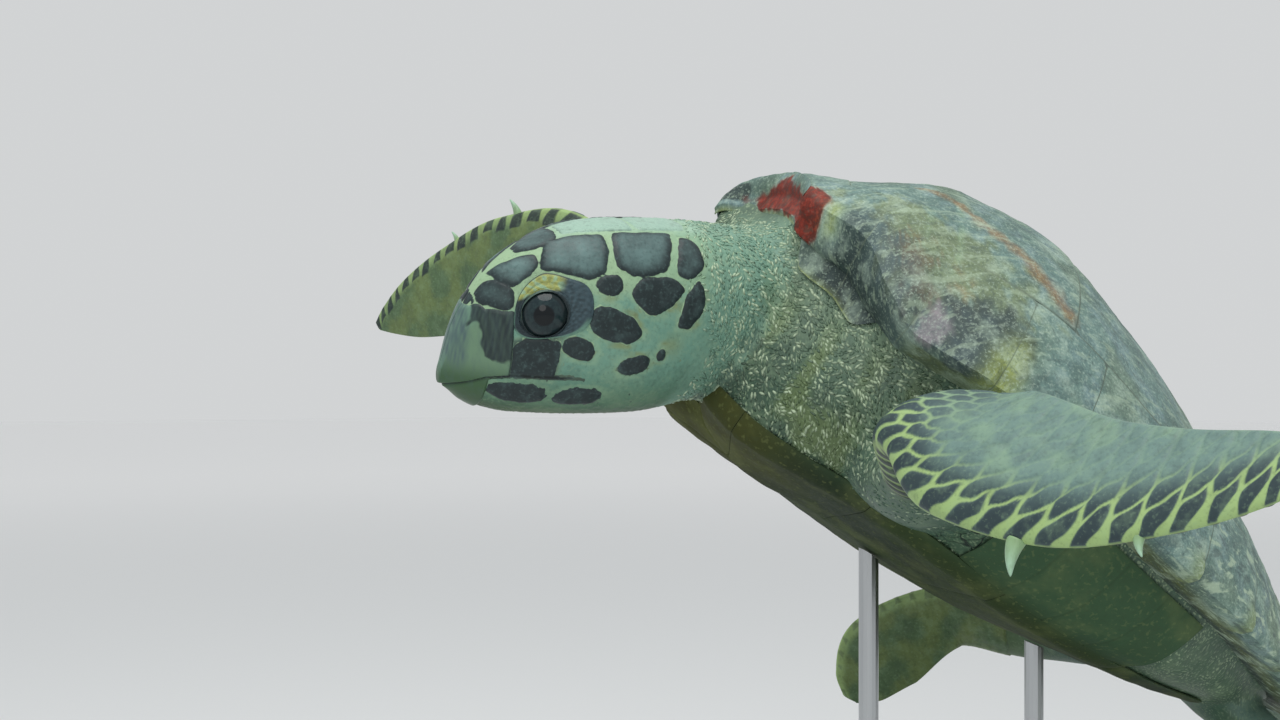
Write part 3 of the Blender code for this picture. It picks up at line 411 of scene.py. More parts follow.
def scute_field(place, angle):
    """How far inside its nearest scute each point of the head lies, in metres, and that scute's tone."""
    whole, folded = whole_angle(angle), fold_angle(angle)
    wander = np.stack((place * HEAD_LENGTH, folded * CHEEK_ROUND, 0.02 * np.sign(np.cos(angle))), -1)
    shift = 0.00045 * ripple(wander, 0.013, 3) + 0.00022 * ripple(wander, 0.0045, 4)
    best, tone = np.full(place.shape, -1.0), np.zeros(place.shape)
    found = []
    for tone_here, corners in SCUTES:
        across = max(a for _, a in corners) > 90
        found.append((tone_here, panel_inside(place, whole if across else folded, corners)))
    for tone_here, p, a, long, high, tilt in OVALS:
        dx, dy = (place - p) * HEAD_LENGTH, (folded - math.radians(a)) * CHEEK_ROUND
        t = math.radians(tilt)
        along, over = dx * math.cos(t) + dy * math.sin(t), dy * math.cos(t) - dx * math.sin(t)
        long, high = long * HEAD_LENGTH, high * HEAD_LENGTH
        far = (np.abs(along / long) ** 2.3 + np.abs(over / high) ** 2.3) ** (1 / 2.3)
        found.append((tone_here, (1.0 - far) * min(long, high)))
    for tone_here, inside in found:
        tone = np.where(inside > best, tone_here, tone)
        best = np.maximum(best, inside)
    return best + shift, tone


def over_mouth(place, points):
    """Height of the head's points over the line of its mouth, in metres."""
    line = np.interp(place, [p for p, _ in MOUTH], [z for _, z in MOUTH])
    return (points[..., 2] / HEAD_LENGTH - line) * HEAD_LENGTH


def beak_fields(place, angle, points):
    """How far inside the upper and lower horn each point lies, in metres."""
    degrees = np.degrees(fold_angle(angle))
    over = over_mouth(place, points) - 0.0004
    behind = (place - np.interp(degrees, *zip(*BEAK_BACK))) * HEAD_LENGTH
    above = np.interp(place, [p for _, p in BEAK_BACK], [a for a, _ in BEAK_BACK]) - degrees
    above = np.radians(above) * ROUND(place)
    ahead = behind * above / np.maximum(np.hypot(behind, above), 1e-9)
    past = -np.sqrt(np.abs(np.minimum(behind, 0) * np.minimum(above, 0))) - 0.0001
    back = np.where((behind > 0) & (above > 0), ahead, past)
    upper = soft_min(over, np.where(place > 0.75, back, -0.05), 0.001)
    lower = soft_min(-over - 0.0010, (place - 0.845) * HEAD_LENGTH, 0.002)
    return upper, lower


# ---------------- limbs
class Limb:
    """A flattened limb along smooth stations, each (share of the length, centre, leading direction,
    half chord, half thickness)."""

    def __init__(self, stations):
        share = [station[0] for station in stations]
        columns = list(zip(*(tuple(s[1]) + tuple(s[2]) + (s[3], s[4]) for s in stations)))
        self.curves = [Profile(*zip(share, column)) for column in columns]
        along = np.linspace(0.0, 1.0, 101)
        run = np.linalg.norm(np.diff(self.centre(along), axis=0), axis=1) * SCL
        self.run_at, self.run = along, np.concatenate(([0.0], np.cumsum(run)))

    def centre(self, u):
        return np.stack([curve(u) for curve in self.curves[:3]], -1)

    def half_chord(self, u):
        return self.curves[6](u) * SCL

    def frame(self, u):
        """Directions along the limb, towards its leading edge and out of its face."""
        run = unit(self.centre(np.minimum(u + 0.02, 1.0)) - self.centre(np.maximum(u - 0.02, 0.0)))
        lead = np.stack([curve(u) for curve in self.curves[3:6]], -1)
        lead = unit(lead - run * (lead * run).sum(-1, keepdims=True))
        return run, lead, np.cross(lead, run)

    def point(self, u, turn, grow=0.0):
        """turn goes round the limb: 0 at the leading edge, half a turn at the trailing edge."""
        _, lead, out = self.frame(u)
        chord, rise = np.cos(turn), np.sin(turn)
        thick = self.curves[7](u)
        # further out the limb is a blade, thick in front and thin behind
        bladed = np.clip((u - 0.35) / 0.25, 0.0, 1.0)
        plump = np.abs(rise)
        blade = plump * (0.62 + 0.38 * chord) + 0.045 * (1.0 - chord) * np.minimum(1.0, plump / 0.25)
        deep = thick * lerp(plump, blade, bladed) * SCL + grow * np.minimum(1.0, plump * 3.0)
        wide = (self.half_chord(u) + grow) * chord
        return self.centre(u) * SCL + lead * wide[..., None] + out * (np.sign(rise) * deep)[..., None]


FRONT_LEFT = Limb((
    (0.00, (0.13, -0.22, -0.125), (0.0, -0.9, -0.3), 0.080, 0.058),
    (0.14, (0.235, -0.255, -0.140), (0.0, -0.85, -0.45), 0.080, 0.054),
    (0.28, (0.343, -0.322, -0.142), (-0.15, -0.6, -0.75), 0.056, 0.042),
    (0.38, (0.420, -0.382, -0.134), (-0.3, -0.45, -0.8), 0.060, 0.030),
    (0.48, (0.505, -0.378, -0.146), (0.0, -0.1, -1.0), 0.074, 0.022),
    (0.60, (0.597, -0.350, -0.136), (0.1, 0.1, -1.0), 0.065, 0.017),
    (0.74, (0.683, -0.327, -0.104), (0.1, 0.1, -1.0), 0.050, 0.013),
    (0.88, (0.758, -0.310, -0.062), (0.2, 0.1, -1.0), 0.034, 0.009),
    (0.96, (0.790, -0.304, -0.042), (0.2, 0.1, -1.0), 0.018, 0.006),
    (1.00, (0.804, -0.302, -0.033), (0.2, 0.1, -1.0), 0.006, 0.003),
))
FRONT_RIGHT = Limb((
    (0.00, (-0.10, -0.24, -0.115), (0.0, -0.9, 0.2), 0.075, 0.060),
    (0.14, (-0.19, -0.35, -0.125), (0.0, -0.9, 0.3), 0.078, 0.056),
    (0.28, (-0.265, -0.46, -0.125), (0.1, -0.8, 0.5), 0.066, 0.040),
    (0.42, (-0.350, -0.555, -0.130), (0.0, -0.8, 0.6), 0.078, 0.026),
    (0.56, (-0.440, -0.595, -0.175), (-0.1, -0.8, 0.6), 0.078, 0.019),
    (0.72, (-0.535, -0.620, -0.235), (-0.1, -0.8, 0.6), 0.064, 0.014),
    (0.86, (-0.605, -0.638, -0.290), (-0.2, -0.8, 0.5), 0.044, 0.010),
    (0.96, (-0.650, -0.648, -0.325), (-0.2, -0.8, 0.5), 0.020, 0.006),
    (1.00, (-0.665, -0.652, -0.340), (-0.2, -0.8, 0.5), 0.006, 0.003),
))
HIND_LEFT = Limb((
    (0.00, (0.09, 0.28, -0.070), (0.8, 0.3, -0.2), 0.060, 0.034),
    (0.25, (0.175, 0.345, -0.085), (0.7, -0.5, -0.2), 0.062, 0.030),
    (0.50, (0.235, 0.425, -0.105), (0.8, -0.5, -0.3), 0.058, 0.018),
    (0.78, (0.285, 0.525, -0.135), (0.8, -0.4, -0.3), 0.068, 0.011),
    (0.93, (0.312, 0.580, -0.155), (0.8, -0.3, -0.3), 0.040, 0.006),
    (1.00, (0.322, 0.602, -0.163), (0.8, -0.3, -0.3), 0.012, 0.003),
))
HIND_RIGHT = Limb((
    (0.00, (-0.09, 0.27, -0.070), (-0.3, -0.8, 0.0), 0.060, 0.034),
    (0.25, (-0.185, 0.235, -0.110), (-0.3, -0.9, 0.0), 0.058, 0.030),
    (0.50, (-0.265, 0.170, -0.165), (-0.35, -0.8, -0.2), 0.052, 0.018),
    (0.78, (-0.315, 0.155, -0.255), (-0.35, -0.8, -0.3), 0.064, 0.011),
    (0.93, (-0.338, 0.168, -0.315), (-0.35, -0.8, -0.3), 0.040, 0.006),
    (1.00, (-0.347, 0.175, -0.338), (-0.35, -0.8, -0.3), 0.012, 0.003),
))
TAIL = Limb((
    (0.00, (0.0, 0.38, -0.052), (1.0, 0.0, 0.0), 0.050, 0.026),
    (0.45, (0.0, 0.47, -0.045), (1.0, 0.0, 0.0), 0.034, 0.022),
    (0.80, (0.0, 0.535, -0.058), (1.0, 0.0, 0.0), 0.018, 0.013),
    (1.00, (0.0, 0.565, -0.068), (1.0, 0.0, 0.0), 0.006, 0.005),
))
# limb, name, and the sign of its upper (dorsal) face
LIMBS = ((FRONT_LEFT, "front_left", 1.0), (FRONT_RIGHT, "front_right", -1.0),
         (HIND_LEFT, "hind_left", 1.0), (HIND_RIGHT, "hind_right", -1.0), (TAIL, "tail", 1.0))
# limb name: metres between scales at the shoulder's end and further out, lean of the rows towards the
# tip, metres from the leading edge of each row's middle
SCALE_ROWS = {
    "front": (0.0088, 0.0165, 0.72, (0.008, 0.024, 0.039, 0.053, 0.067, 0.081, 0.095)),
    "hind": (0.0095, 0.0125, 0.45, (0.007, 0.020, 0.033, 0.046, 0.059, 0.072)),
}


def limb_chart(limb, u, turn):
    """Metres along the limb, and across it from its leading edge."""
    return np.interp(u, limb.run_at, limb.run), limb.half_chord(u) * (1.0 - np.cos(turn))


def limb_field(limb, kind, u, turn, upper):
    """Distance to the border between two scales, and a number from 0 to 1 for the nearest one."""
    near, far, lean, rows = SCALE_ROWS[kind]
    x, d = limb_chart(limb, u, turn)
    wander = np.stack((x, d, 0.05 * upper), -1)
    d = d + 0.0012 * ripple(wander, 0.018, 12)
    x = x - np.where(upper, lean, 0.35 * lean) * d + 0.0011 * ripple(wander, 0.020, 11)
    run = np.linspace(-0.12, limb.run[-1] + 0.02, 400)
    share = np.interp(run, limb.run, limb.run_at)
    pitch = lerp(near, far, ease(0.30, 0.52, share)) * lerp(1.0, 0.72, ease(0.70, 1.0, share))
    count = np.concatenate(([0.0], np.cumsum(np.diff(run) / pitch[1:])))
    w, size = np.interp(x, run, count), np.interp(x, run, pitch)
    best, second = np.full(x.shape, 1e9), np.full(x.shape, 1e9)
    own = np.zeros(x.shape)
    rng = np.random.default_rng(7)
    for row, middle in enumerate(rows):
        offset = 0.5 * (row % 2) + 0.06 * row
        column = np.rint(w - offset)
        for step in (-1, 0, 1):
            here = column + step
            shift = rng.normal(size=512)[here.astype(int) % 512] * 0.05
            across = (w - offset - here - shift) * size
            over = (d - middle) * 0.60
            reach = np.hypot(across, over)
            nearer = reach < best
            second = np.where(nearer, best, np.minimum(second, reach))
            own = np.where(nearer, np.mod(here * 0.618 + row * 0.37, 1.0), own)
            best = np.where(nearer, reach, best)
    return (second - best) * 0.5, own


# ---------------- making meshes
def mesh_from(bm, name):
    mesh = bpy.data.meshes.new(name)
    bm.to_mesh(mesh)
    bm.free()
    return mesh


def grid(across, along, slab=False):
    """A grid mesh and its vertices' whole-number places across, along and in layer 0 or 1."""
    bm = bmesh.new()
    bmesh.ops.create_grid(bm, x_segments=across, y_segments=along, size=0.5)
    bmesh.ops.translate(bm, verts=bm.verts, vec=(0.5, 0.5, 0.0))
    bmesh.ops.scale(bm, verts=bm.verts, vec=(across, along, 1.0))
    if slab:
        made = bmesh.ops.extrude_face_region(bm, geom=list(bm.faces))["geom"]
        upper = [item for item in made if isinstance(item, bmesh.types.BMVert)]
        bmesh.ops.translate(bm, verts=upper, vec=(0.0, 0.0, 1.0))
    mesh = mesh_from(bm, "grid")
    places = np.empty(len(mesh.vertices) * 3, np.float32)
    mesh.vertices.foreach_get("co", places)
    places = np.rint(places.reshape(-1, 3)).astype(int)
    return mesh, places[:, 0], places[:, 1], places[:, 2]


def turned(i, around):
    """The angle of each place round a closed tube."""
    return 2 * math.pi * (i % around) / around


def read_values(mesh, name, width=1):
    """One number, or a colour of width 4, for each vertex."""
    data = mesh.attributes[name].data
    values = np.empty(len(data) * width, np.float32)
    data.foreach_get("value" if width == 1 else "color", values)
    return values if width == 1 else values.reshape(-1, width)


def write_values(mesh, values):
    """Writes the numbers and colours that the materials read, one for each vertex."""
    for name, data in values.items():
        kind = "FLOAT_COLOR" if data.ndim == 2 else "FLOAT"
        attribute = mesh.attributes.new(name, kind, "POINT")
        if kind == "FLOAT_COLOR":
            data = np.concatenate((data, np.ones((len(data), 1))), 1)
            attribute.data.foreach_set("color", data.astype(np.float32).ravel())
        else:
            attribute.data.foreach_set("value", data.astype(np.float32))


def unrolled(i, around, j, along):
    """Places on the unrolled skin for the OFBake map, clear of its borders."""
    return np.stack((0.02 + 0.96 * i / around, 0.02 + 0.96 * j / along), 1)


def write_bake_map(mesh, places):
    """The OFBake map, from each vertex's place on the unrolled skin."""
    layer = mesh.uv_layers.new(name="OFBake")
    corner = np.empty(len(mesh.loops), np.int32)
    mesh.loops.foreach_get("vertex_index", corner)
    layer.data.foreach_set("uv", places[corner].astype(np.float32).ravel())


WELD = 2e-6  # vertices nearer than this become one, in metres


def closed_mesh(mesh, points, values=None, bake=None):
    """Puts a grid's vertices at points, welds its seam, closes its ends and turns its faces out."""
    mesh.vertices.foreach_set("co", points.astype(np.float32).ravel())
    write_values(mesh, values or {})
    if bake is not None:
        write_bake_map(mesh, bake)
    bm = bmesh.new()
    bm.from_mesh(mesh)
    bmesh.ops.remove_doubles(bm, verts=bm.verts, dist=WELD)
    rim = [edge for edge in bm.edges if edge.is_boundary]
    if rim:
        bmesh.ops.holes_fill(bm, edges=rim, sides=0)
    bmesh.ops.recalc_face_normals(bm, faces=bm.faces)
    if bm.calc_volume(signed=True) < 0:
        bmesh.ops.reverse_faces(bm, faces=bm.faces)
    bm.to_mesh(mesh)
    bm.free()
    return mesh


def add_object(name, data):
    made = bpy.data.objects.new(name, data)
    bpy.context.scene.collection.objects.link(made)
    return made


def add_piece(name, mesh, material, replaces=(), sharp=40.0):
    """Adds a finished mesh as a piece, in place of the solids that it replaces."""
    mesh.name = name
    mesh.shade_smooth()
    if sharp:
        mesh.set_sharp_from_angle(angle=math.radians(sharp))
    mesh.materials.clear()
    mesh.materials.append(material)
    piece = add_object(name, mesh)
    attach(piece, "root")
    if replaces:
        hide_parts(*replaces)
    return piece


def mesh_points(mesh):
    points = np.empty(len(mesh.vertices) * 3, np.float32)
    mesh.vertices.foreach_get("co", points)
    return points.reshape(-1, 3).astype(float)


# ---------------- shades
PALE_SEAM = shade(148, 178, 142)
CHEEK_PALE = shade(110, 153, 136)
CHEEK_LOW = shade(84, 120, 98)
CROWN_GREEN = shade(160, 192, 174)
COLLAR = shade(112, 150, 132)
MUSTARD = shade(122, 130, 80)
HORN_PALE = shade(106, 136, 110)
HORN_GREEN = shade(62, 92, 62)
HORN_GREY = shade(78, 100, 100)
LID_DARK = shade(38, 51, 55)
LID_BLUE = shade(66, 87, 95)
LID_YELLOW = shade(158, 164, 92)
LID_HIGHLIGHT = shade(104, 132, 112)
LID_LINE = shade(112, 152, 134)
# the chin's green, darkened as painted shade under the head
CHIN_GREEN = shade(62, 86, 60)
SLATE = shade(38, 50, 52)
SLATE_PALE = shade(98, 126, 124)
NECK_DARK = shade(72, 92, 80)
NECK_MID = shade(94, 116, 98)
STAIN = shade(104, 120, 70)
# the neck's underside, darkened as painted shade
NECK_LOW = shade(60, 84, 68)
GRANULE_PALE = shade(184, 202, 172)
GRANULE_DARK = shade(78, 98, 84)
SHOULDER = shade(74, 98, 82)
ARM_UNDER = shade(66, 94, 78)
# the next two: the breastplate's colours, darkened as painted shade of the underside
BELLY = shade(50, 64, 38)
BELLY_SHADE = shade(38, 51, 36)
UNDER_YELLOW = shade(104, 122, 76)
UNDER_GREEN = shade(84, 108, 76)
WEDGE = shade(156, 184, 120)
FLIPPER_PALE = shade(140, 170, 136)
FLIPPER_SLATE = shade(54, 72, 78)
FLIPPER_GREY = shade(106, 134, 127)
SHELL_GREY = shade(102, 130, 125)
SHELL_TOP = shade(90, 116, 107)
SHELL_REAR = shade(102, 127, 108)
# dark marks, and painted shade on the front rim's face
SHELL_DARK = shade(50, 62, 68)
SHELL_OLIVE = shade(112, 124, 84)
BRICK = shade(132, 42, 28)
TIP_YELLOW = shade(150, 164, 92)
ROSE = shade(168, 158, 166)
RUST = shade(142, 110, 72)
# the next three: the breastplate's front, the belly's sides and the olive under the rim, darkened as painted
# shade of the underside
BELLY_FRONT = shade(66, 68, 34)
BELLY_SIDE = shade(64, 92, 68)
UNDER_OLIVE = shade(92, 100, 52)
SHELL_BLUE = shade(132, 156, 162)
# painted shade on and under the front rim, and one dark plate on the shell's front face
SHELL_DEEP = shade(36, 48, 48)


def mixed(base, over, share):
    """A colour, or one for each point, with this share of another laid over it at each point."""
    share = np.asarray(share)[..., None]
    return base * (1.0 - share) + over * share


# ---------------- the skin
NECK_ROOT = np.array((0.0, -0.27, -0.075)) * SCL
NECK_HALF = np.array((0.150 * SCL, 0.0, 0.110 * SCL))
TO_BODY = BODY.inverted() @ HEAD


def neck_point(u, angle, grow=0.0):
    """The loft from the back of the head, u 0, to the neck's root in the trunk, u 1, in body axes."""
    back = unit(np.array(TO_BODY.to_3x3() @ Vector((0.0, 1.0, 0.0))))
    start = placed(head_ring(0.0 * u, angle, grow), TO_BODY)
    c, s = np.cos(angle), np.sin(angle)
    out = np.stack((c, 0.0 * c, s), -1)
    end = NECK_ROOT + out * NECK_HALF + out * np.asarray(grow)[..., None]
    first = start + back * 0.10 * SCL
    last = end - np.array((0.0, 0.13 * SCL, 0.0)) + out * np.array((0.030, 0.0, 0.004)) * SCL
    rise = np.maximum(s, 0.0) * ease(0.0, 0.09, u) * ease(0.75, 0.30, u)
    first = first + np.array((0.0, 0.0, 0.024)) * SCL * rise[..., None]
    u, v = u[..., None], 1.0 - u[..., None]
    return start * v**3 + first * 3 * v * v * u + last * 3 * v * u * u + end * u**3


def neck_folds(back, angle):
    """Soft rolls of skin that run down and back at the side of the neck, as waves from -1 to 1."""
    lean = np.stack((back * 0.42 - 0.10 * np.sin(angle), angle * 0.03, 0 * back), -1)
    return ripple(lean, 0.045, 31)


def head_dents(place, angle, points):
    """How far the head's skin sinks: the mouth, fine creases and the bed of the eye."""
    mouth = np.exp(-(over_mouth(place, points) / 0.0012) ** 2) * ease(0.52, 0.66, place)
    folds = 0.0003 * ripple(np.stack((place * 0.5, angle * 0.08, 0 * place), -1), 0.009, 21)
    return 0.0024 * mouth + folds * (1.0 - ease(0.75, 0.9, place))


def head_tube(rings=260, around=230):
    """The head and neck in one closed tube, in world metres."""
    neck_share = 0.36
    mesh, i, j, _ = grid(around, rings)
    angle = turned(i, around)
    v = j / rings
    on_neck = v < neck_share
    u = np.clip(1.0 - v / neck_share, 0.0, 1.0)
    place = np.interp((v - neck_share) / (1.0 - neck_share), HEAD_SHARE, HEAD_PLACE)
    neck = placed(neck_point(u, angle, np.full(u.shape, -COAT)), BODY)
    raw = head_ring(place, angle)
    head = placed(head_ring(place, angle, -COAT - head_dents(place, angle, raw)), HEAD)
    points = np.where(on_neck[:, None], neck, head)
    out = unit(np.stack((np.cos(angle), 0 * angle, np.sin(angle)), -1)) @ np.array(HEAD.to_3x3()).T
    back = np.where(on_neck, u, 0.0)
    folds = neck_folds(back, angle)
    low = ease(0.3, -0.5, np.sin(angle))  # the rolls are deeper there
    fine = ripple(points, 0.013, 32)
    swell = (0.0018 + 0.0042 * low) * folds * ease(0.05, 0.4, back) + 0.0007 * fine * ease(0.0, 0.2, back)
    points = points + out * (swell - 0.0012 * ease(0.0, 0.2, back))[:, None]
    return closed_mesh(mesh, points)


def trunk_tube(rows=124, around=212):
    """The trunk's flesh in one closed tube; its rings run from -2 below over 0 on the ridge to 2."""
    mesh, i, j, _ = grid(around, rows + 2)
    sides = np.concatenate((np.linspace(0.0, 1.0, around // 4 + 1)[:-1],
                            1.0 + np.linspace(0.0, 1.0, around // 4 + 1)))
    ring = np.concatenate((-sides[::-1][:-1], sides))
    q = np.clip((j - 1) / rows, 0.0, 1.0)
    side = ring[i % around]
    side = np.where(i % around == 0, 2.0, side)
    points = shell_point(q, side, np.full(q.shape, -COAT))
    tip = np.array((0.0, 0.0015, 0.0))
    front = shell_point(np.zeros(len(ring)), ring).mean(0) - tip
    rear = shell_point(np.ones(len(ring)), ring).mean(0) + tip
    points = np.where((j == 0)[:, None], front, np.where((j == rows + 2)[:, None], rear, points))
    return closed_mesh(mesh, placed(points, BODY))


def limb_tube(limb, along, around):
    """A limb's flesh in one closed tube, with its rings a little closer towards the tip."""
    mesh, i, j, _ = grid(around, along)
    turn = turned(i, around)
    u = (j / along) ** 0.92
    points = limb.point(u, turn, -COAT)
    return closed_mesh(mesh, placed(points, BODY))


def union(meshes):
    """One closed mesh from several, by Boolean unions."""
    base = add_object("skin_base", meshes[0])
    for mesh in meshes[1:]:
        other = add_object("skin_part", mesh)
        modifier = base.modifiers.new("union", "BOOLEAN")
        modifier.operation, modifier.solver, modifier.object = "UNION", "MANIFOLD", other
    graph = bpy.context.evaluated_depsgraph_get()
    joined = bpy.data.meshes.new_from_object(base.evaluated_get(graph))
    for other in [m.object for m in base.modifiers]:
        bpy.data.objects.remove(other)
    bpy.data.objects.remove(base)
    return joined


def relax(points, edges, weight, rounds):
    """Moves each point towards its neighbours' middle by weight, over and over."""
    ends = np.concatenate((edges, edges[:, ::-1]))
    count = np.bincount(ends[:, 0], minlength=len(points))[:, None]
    for _ in range(rounds):
        total = np.stack([np.bincount(ends[:, 0], points[ends[:, 1], k], len(points)) for k in range(3)], 1)
        points = points + weight[:, None] * 0.6 * (total / np.maximum(count, 1) - points)
    return points


def point_tree(points):
    tree = KDTree(len(points))
    for number, point in enumerate(points):
        tree.insert(point, number)
    tree.balance()
    return tree


def nearest(targets, points):
    """The number of the nearest target to each point, and how far off it is."""
    tree = point_tree(targets)
    found = [tree.find(point) for point in points]
    return np.array([f[1] for f in found]), np.array([f[2] for f in found])


def head_tint(place, angle, points):
    """The skin's own shades between the head's scutes."""
    degrees = np.degrees(fold_angle(angle))
    inside, _ = scute_field(place, angle)
    wave = ripple(points, 0.020, 91)
    tint = mixed(CHEEK_LOW, CHEEK_PALE, ease(-42, -4, degrees))
    # darker under the head: the chin's green, partly painted shade
    tint = mixed(tint, CHIN_GREEN, ease(-35, -62, degrees))
    tint = mixed(tint, PALE_SEAM, ease(22, 40, degrees) * lerp(0.55, 1.0, ease(0.20, 0.5, place)))
    tint = mixed(tint, CROWN_GREEN, ease(66, 76, degrees) * ease(0.70, 0.60, place) * 0.8)
    rim = np.exp(-((inside + 0.0010) / 0.0016) ** 2)
    tint = mixed(tint, PALE_SEAM, 0.45 * rim * ease(-60, -10, degrees))
    mustard = rim * ease(0.0, 0.7, wave) * ease(0.6, 0.45, place)
    mustard = mustard * ease(-20, 0, degrees) * ease(34, 24, degrees)
    mustard = mustard + rounded(place, 0.262, 0.035) * rounded(degrees, 2, 5.0) * 0.7
    tint = mixed(tint, MUSTARD, 0.7 * np.clip(mustard, 0, 1))
    tint = mixed(tint, PALE_SEAM, ease(0.80, 0.90, place) * ease(20, 40, degrees) * 0.5)
    tint = mixed(tint, COLLAR, ease(0.20, 0.12, place) * 0.85)
    dark = ease(0.795, 0.786, place) * ease(0.62, 0.66, place)
    dark = dark * ease(-20, -17, degrees) * ease(11, 7, degrees)
    tint = mixed(tint, SLATE, 0.75 * dark)
    return mixed(tint, LID_DARK, ease(0.92, 0.78, around_eye(place, angle)))


def build_skin(material):
    """One skin over trunk, head and limbs: their tubes joined, and smoothed where they meet."""
    parts = [trunk_tube(), head_tube(), limb_tube(FRONT_LEFT, 150, 84), limb_tube(FRONT_RIGHT, 150, 84),
             limb_tube(HIND_LEFT, 76, 56), limb_tube(HIND_RIGHT, 76, 56), limb_tube(TAIL, 30, 32)]
    old = np.concatenate([mesh_points(part) for part in parts])
    mesh = union(parts)
    points = mesh_points(mesh)
    known = {tuple(p) for p in np.rint(old * 1e5).astype(int)}
    new = np.array([tuple(p) not in known for p in np.rint(points * 1e5).astype(int)])
    edges = np.empty(len(mesh.edges) * 2, np.int32)
    mesh.edges.foreach_get("vertices", edges)
    _, far = nearest(points[new], points)
    near_joint = 1.0 - ease(0.004, 0.026, far)
    points = relax(points, edges.reshape(-1, 2), near_joint, 50)
    mesh.vertices.foreach_set("co", points.astype(np.float32).ravel())
    write_values(mesh, skin_values(points))
    bm = bmesh.new()
    bm.from_mesh(mesh)
    bmesh.ops.remove_doubles(bm, verts=bm.verts, dist=2e-5)
    bmesh.ops.dissolve_degenerate(bm, edges=bm.edges, dist=1e-6)
    bmesh.ops.recalc_face_normals(bm, faces=bm.faces)
    bm.to_mesh(mesh)
    bm.free()
    limbs = ["front_arm_left", "front_arm_right", "front_blade_left", "front_blade_right",
             "hind_flipper_left", "hind_flipper_right", "tail"]
    return add_piece("skin", mesh, material, ["trunk", "head", "neck", *limbs], sharp=0)


def sample_grid(first, second):
    """Every pair of the two, as two flat lists."""
    a, b = np.meshgrid(first, second, indexing="ij")
    return a.ravel(), b.ravel()


def tube_samples(along, around):
    return sample_grid(np.linspace(0, 1, along), np.linspace(0, 2 * math.pi, around, endpoint=False))


def skin_places(points):
    """For each point of the skin, its part (0 trunk, 1 head, 2 neck, then the limbs) and its two
    places on that part."""
    charts = []
    place, angle = tube_samples(150, 160)
    charts.append((placed(head_ring(place, angle), HEAD), place, angle, 1))
    u, angle = tube_samples(70, 120)
    charts.append((placed(neck_point(u, angle), BODY), u, angle, 2))
    q, side = sample_grid(np.linspace(0, 1, 90), np.linspace(-1.999, 1.999, 240))
    charts.append((placed(shell_point(q, side), BODY), q, side, 0))
    for number, (limb, _, _) in enumerate(LIMBS):
        u, turn = tube_samples(110, 72)
        charts.append((placed(limb.point(u, turn), BODY), u, turn, 3 + number))
    where = np.concatenate([c[0] for c in charts])
    first = np.concatenate([c[1] for c in charts])
    second = np.concatenate([c[2] for c in charts])
    part = np.concatenate([np.full(len(c[1]), c[3]) for c in charts])
    index, _ = nearest(where, points)
    return part[index], first[index], second[index]


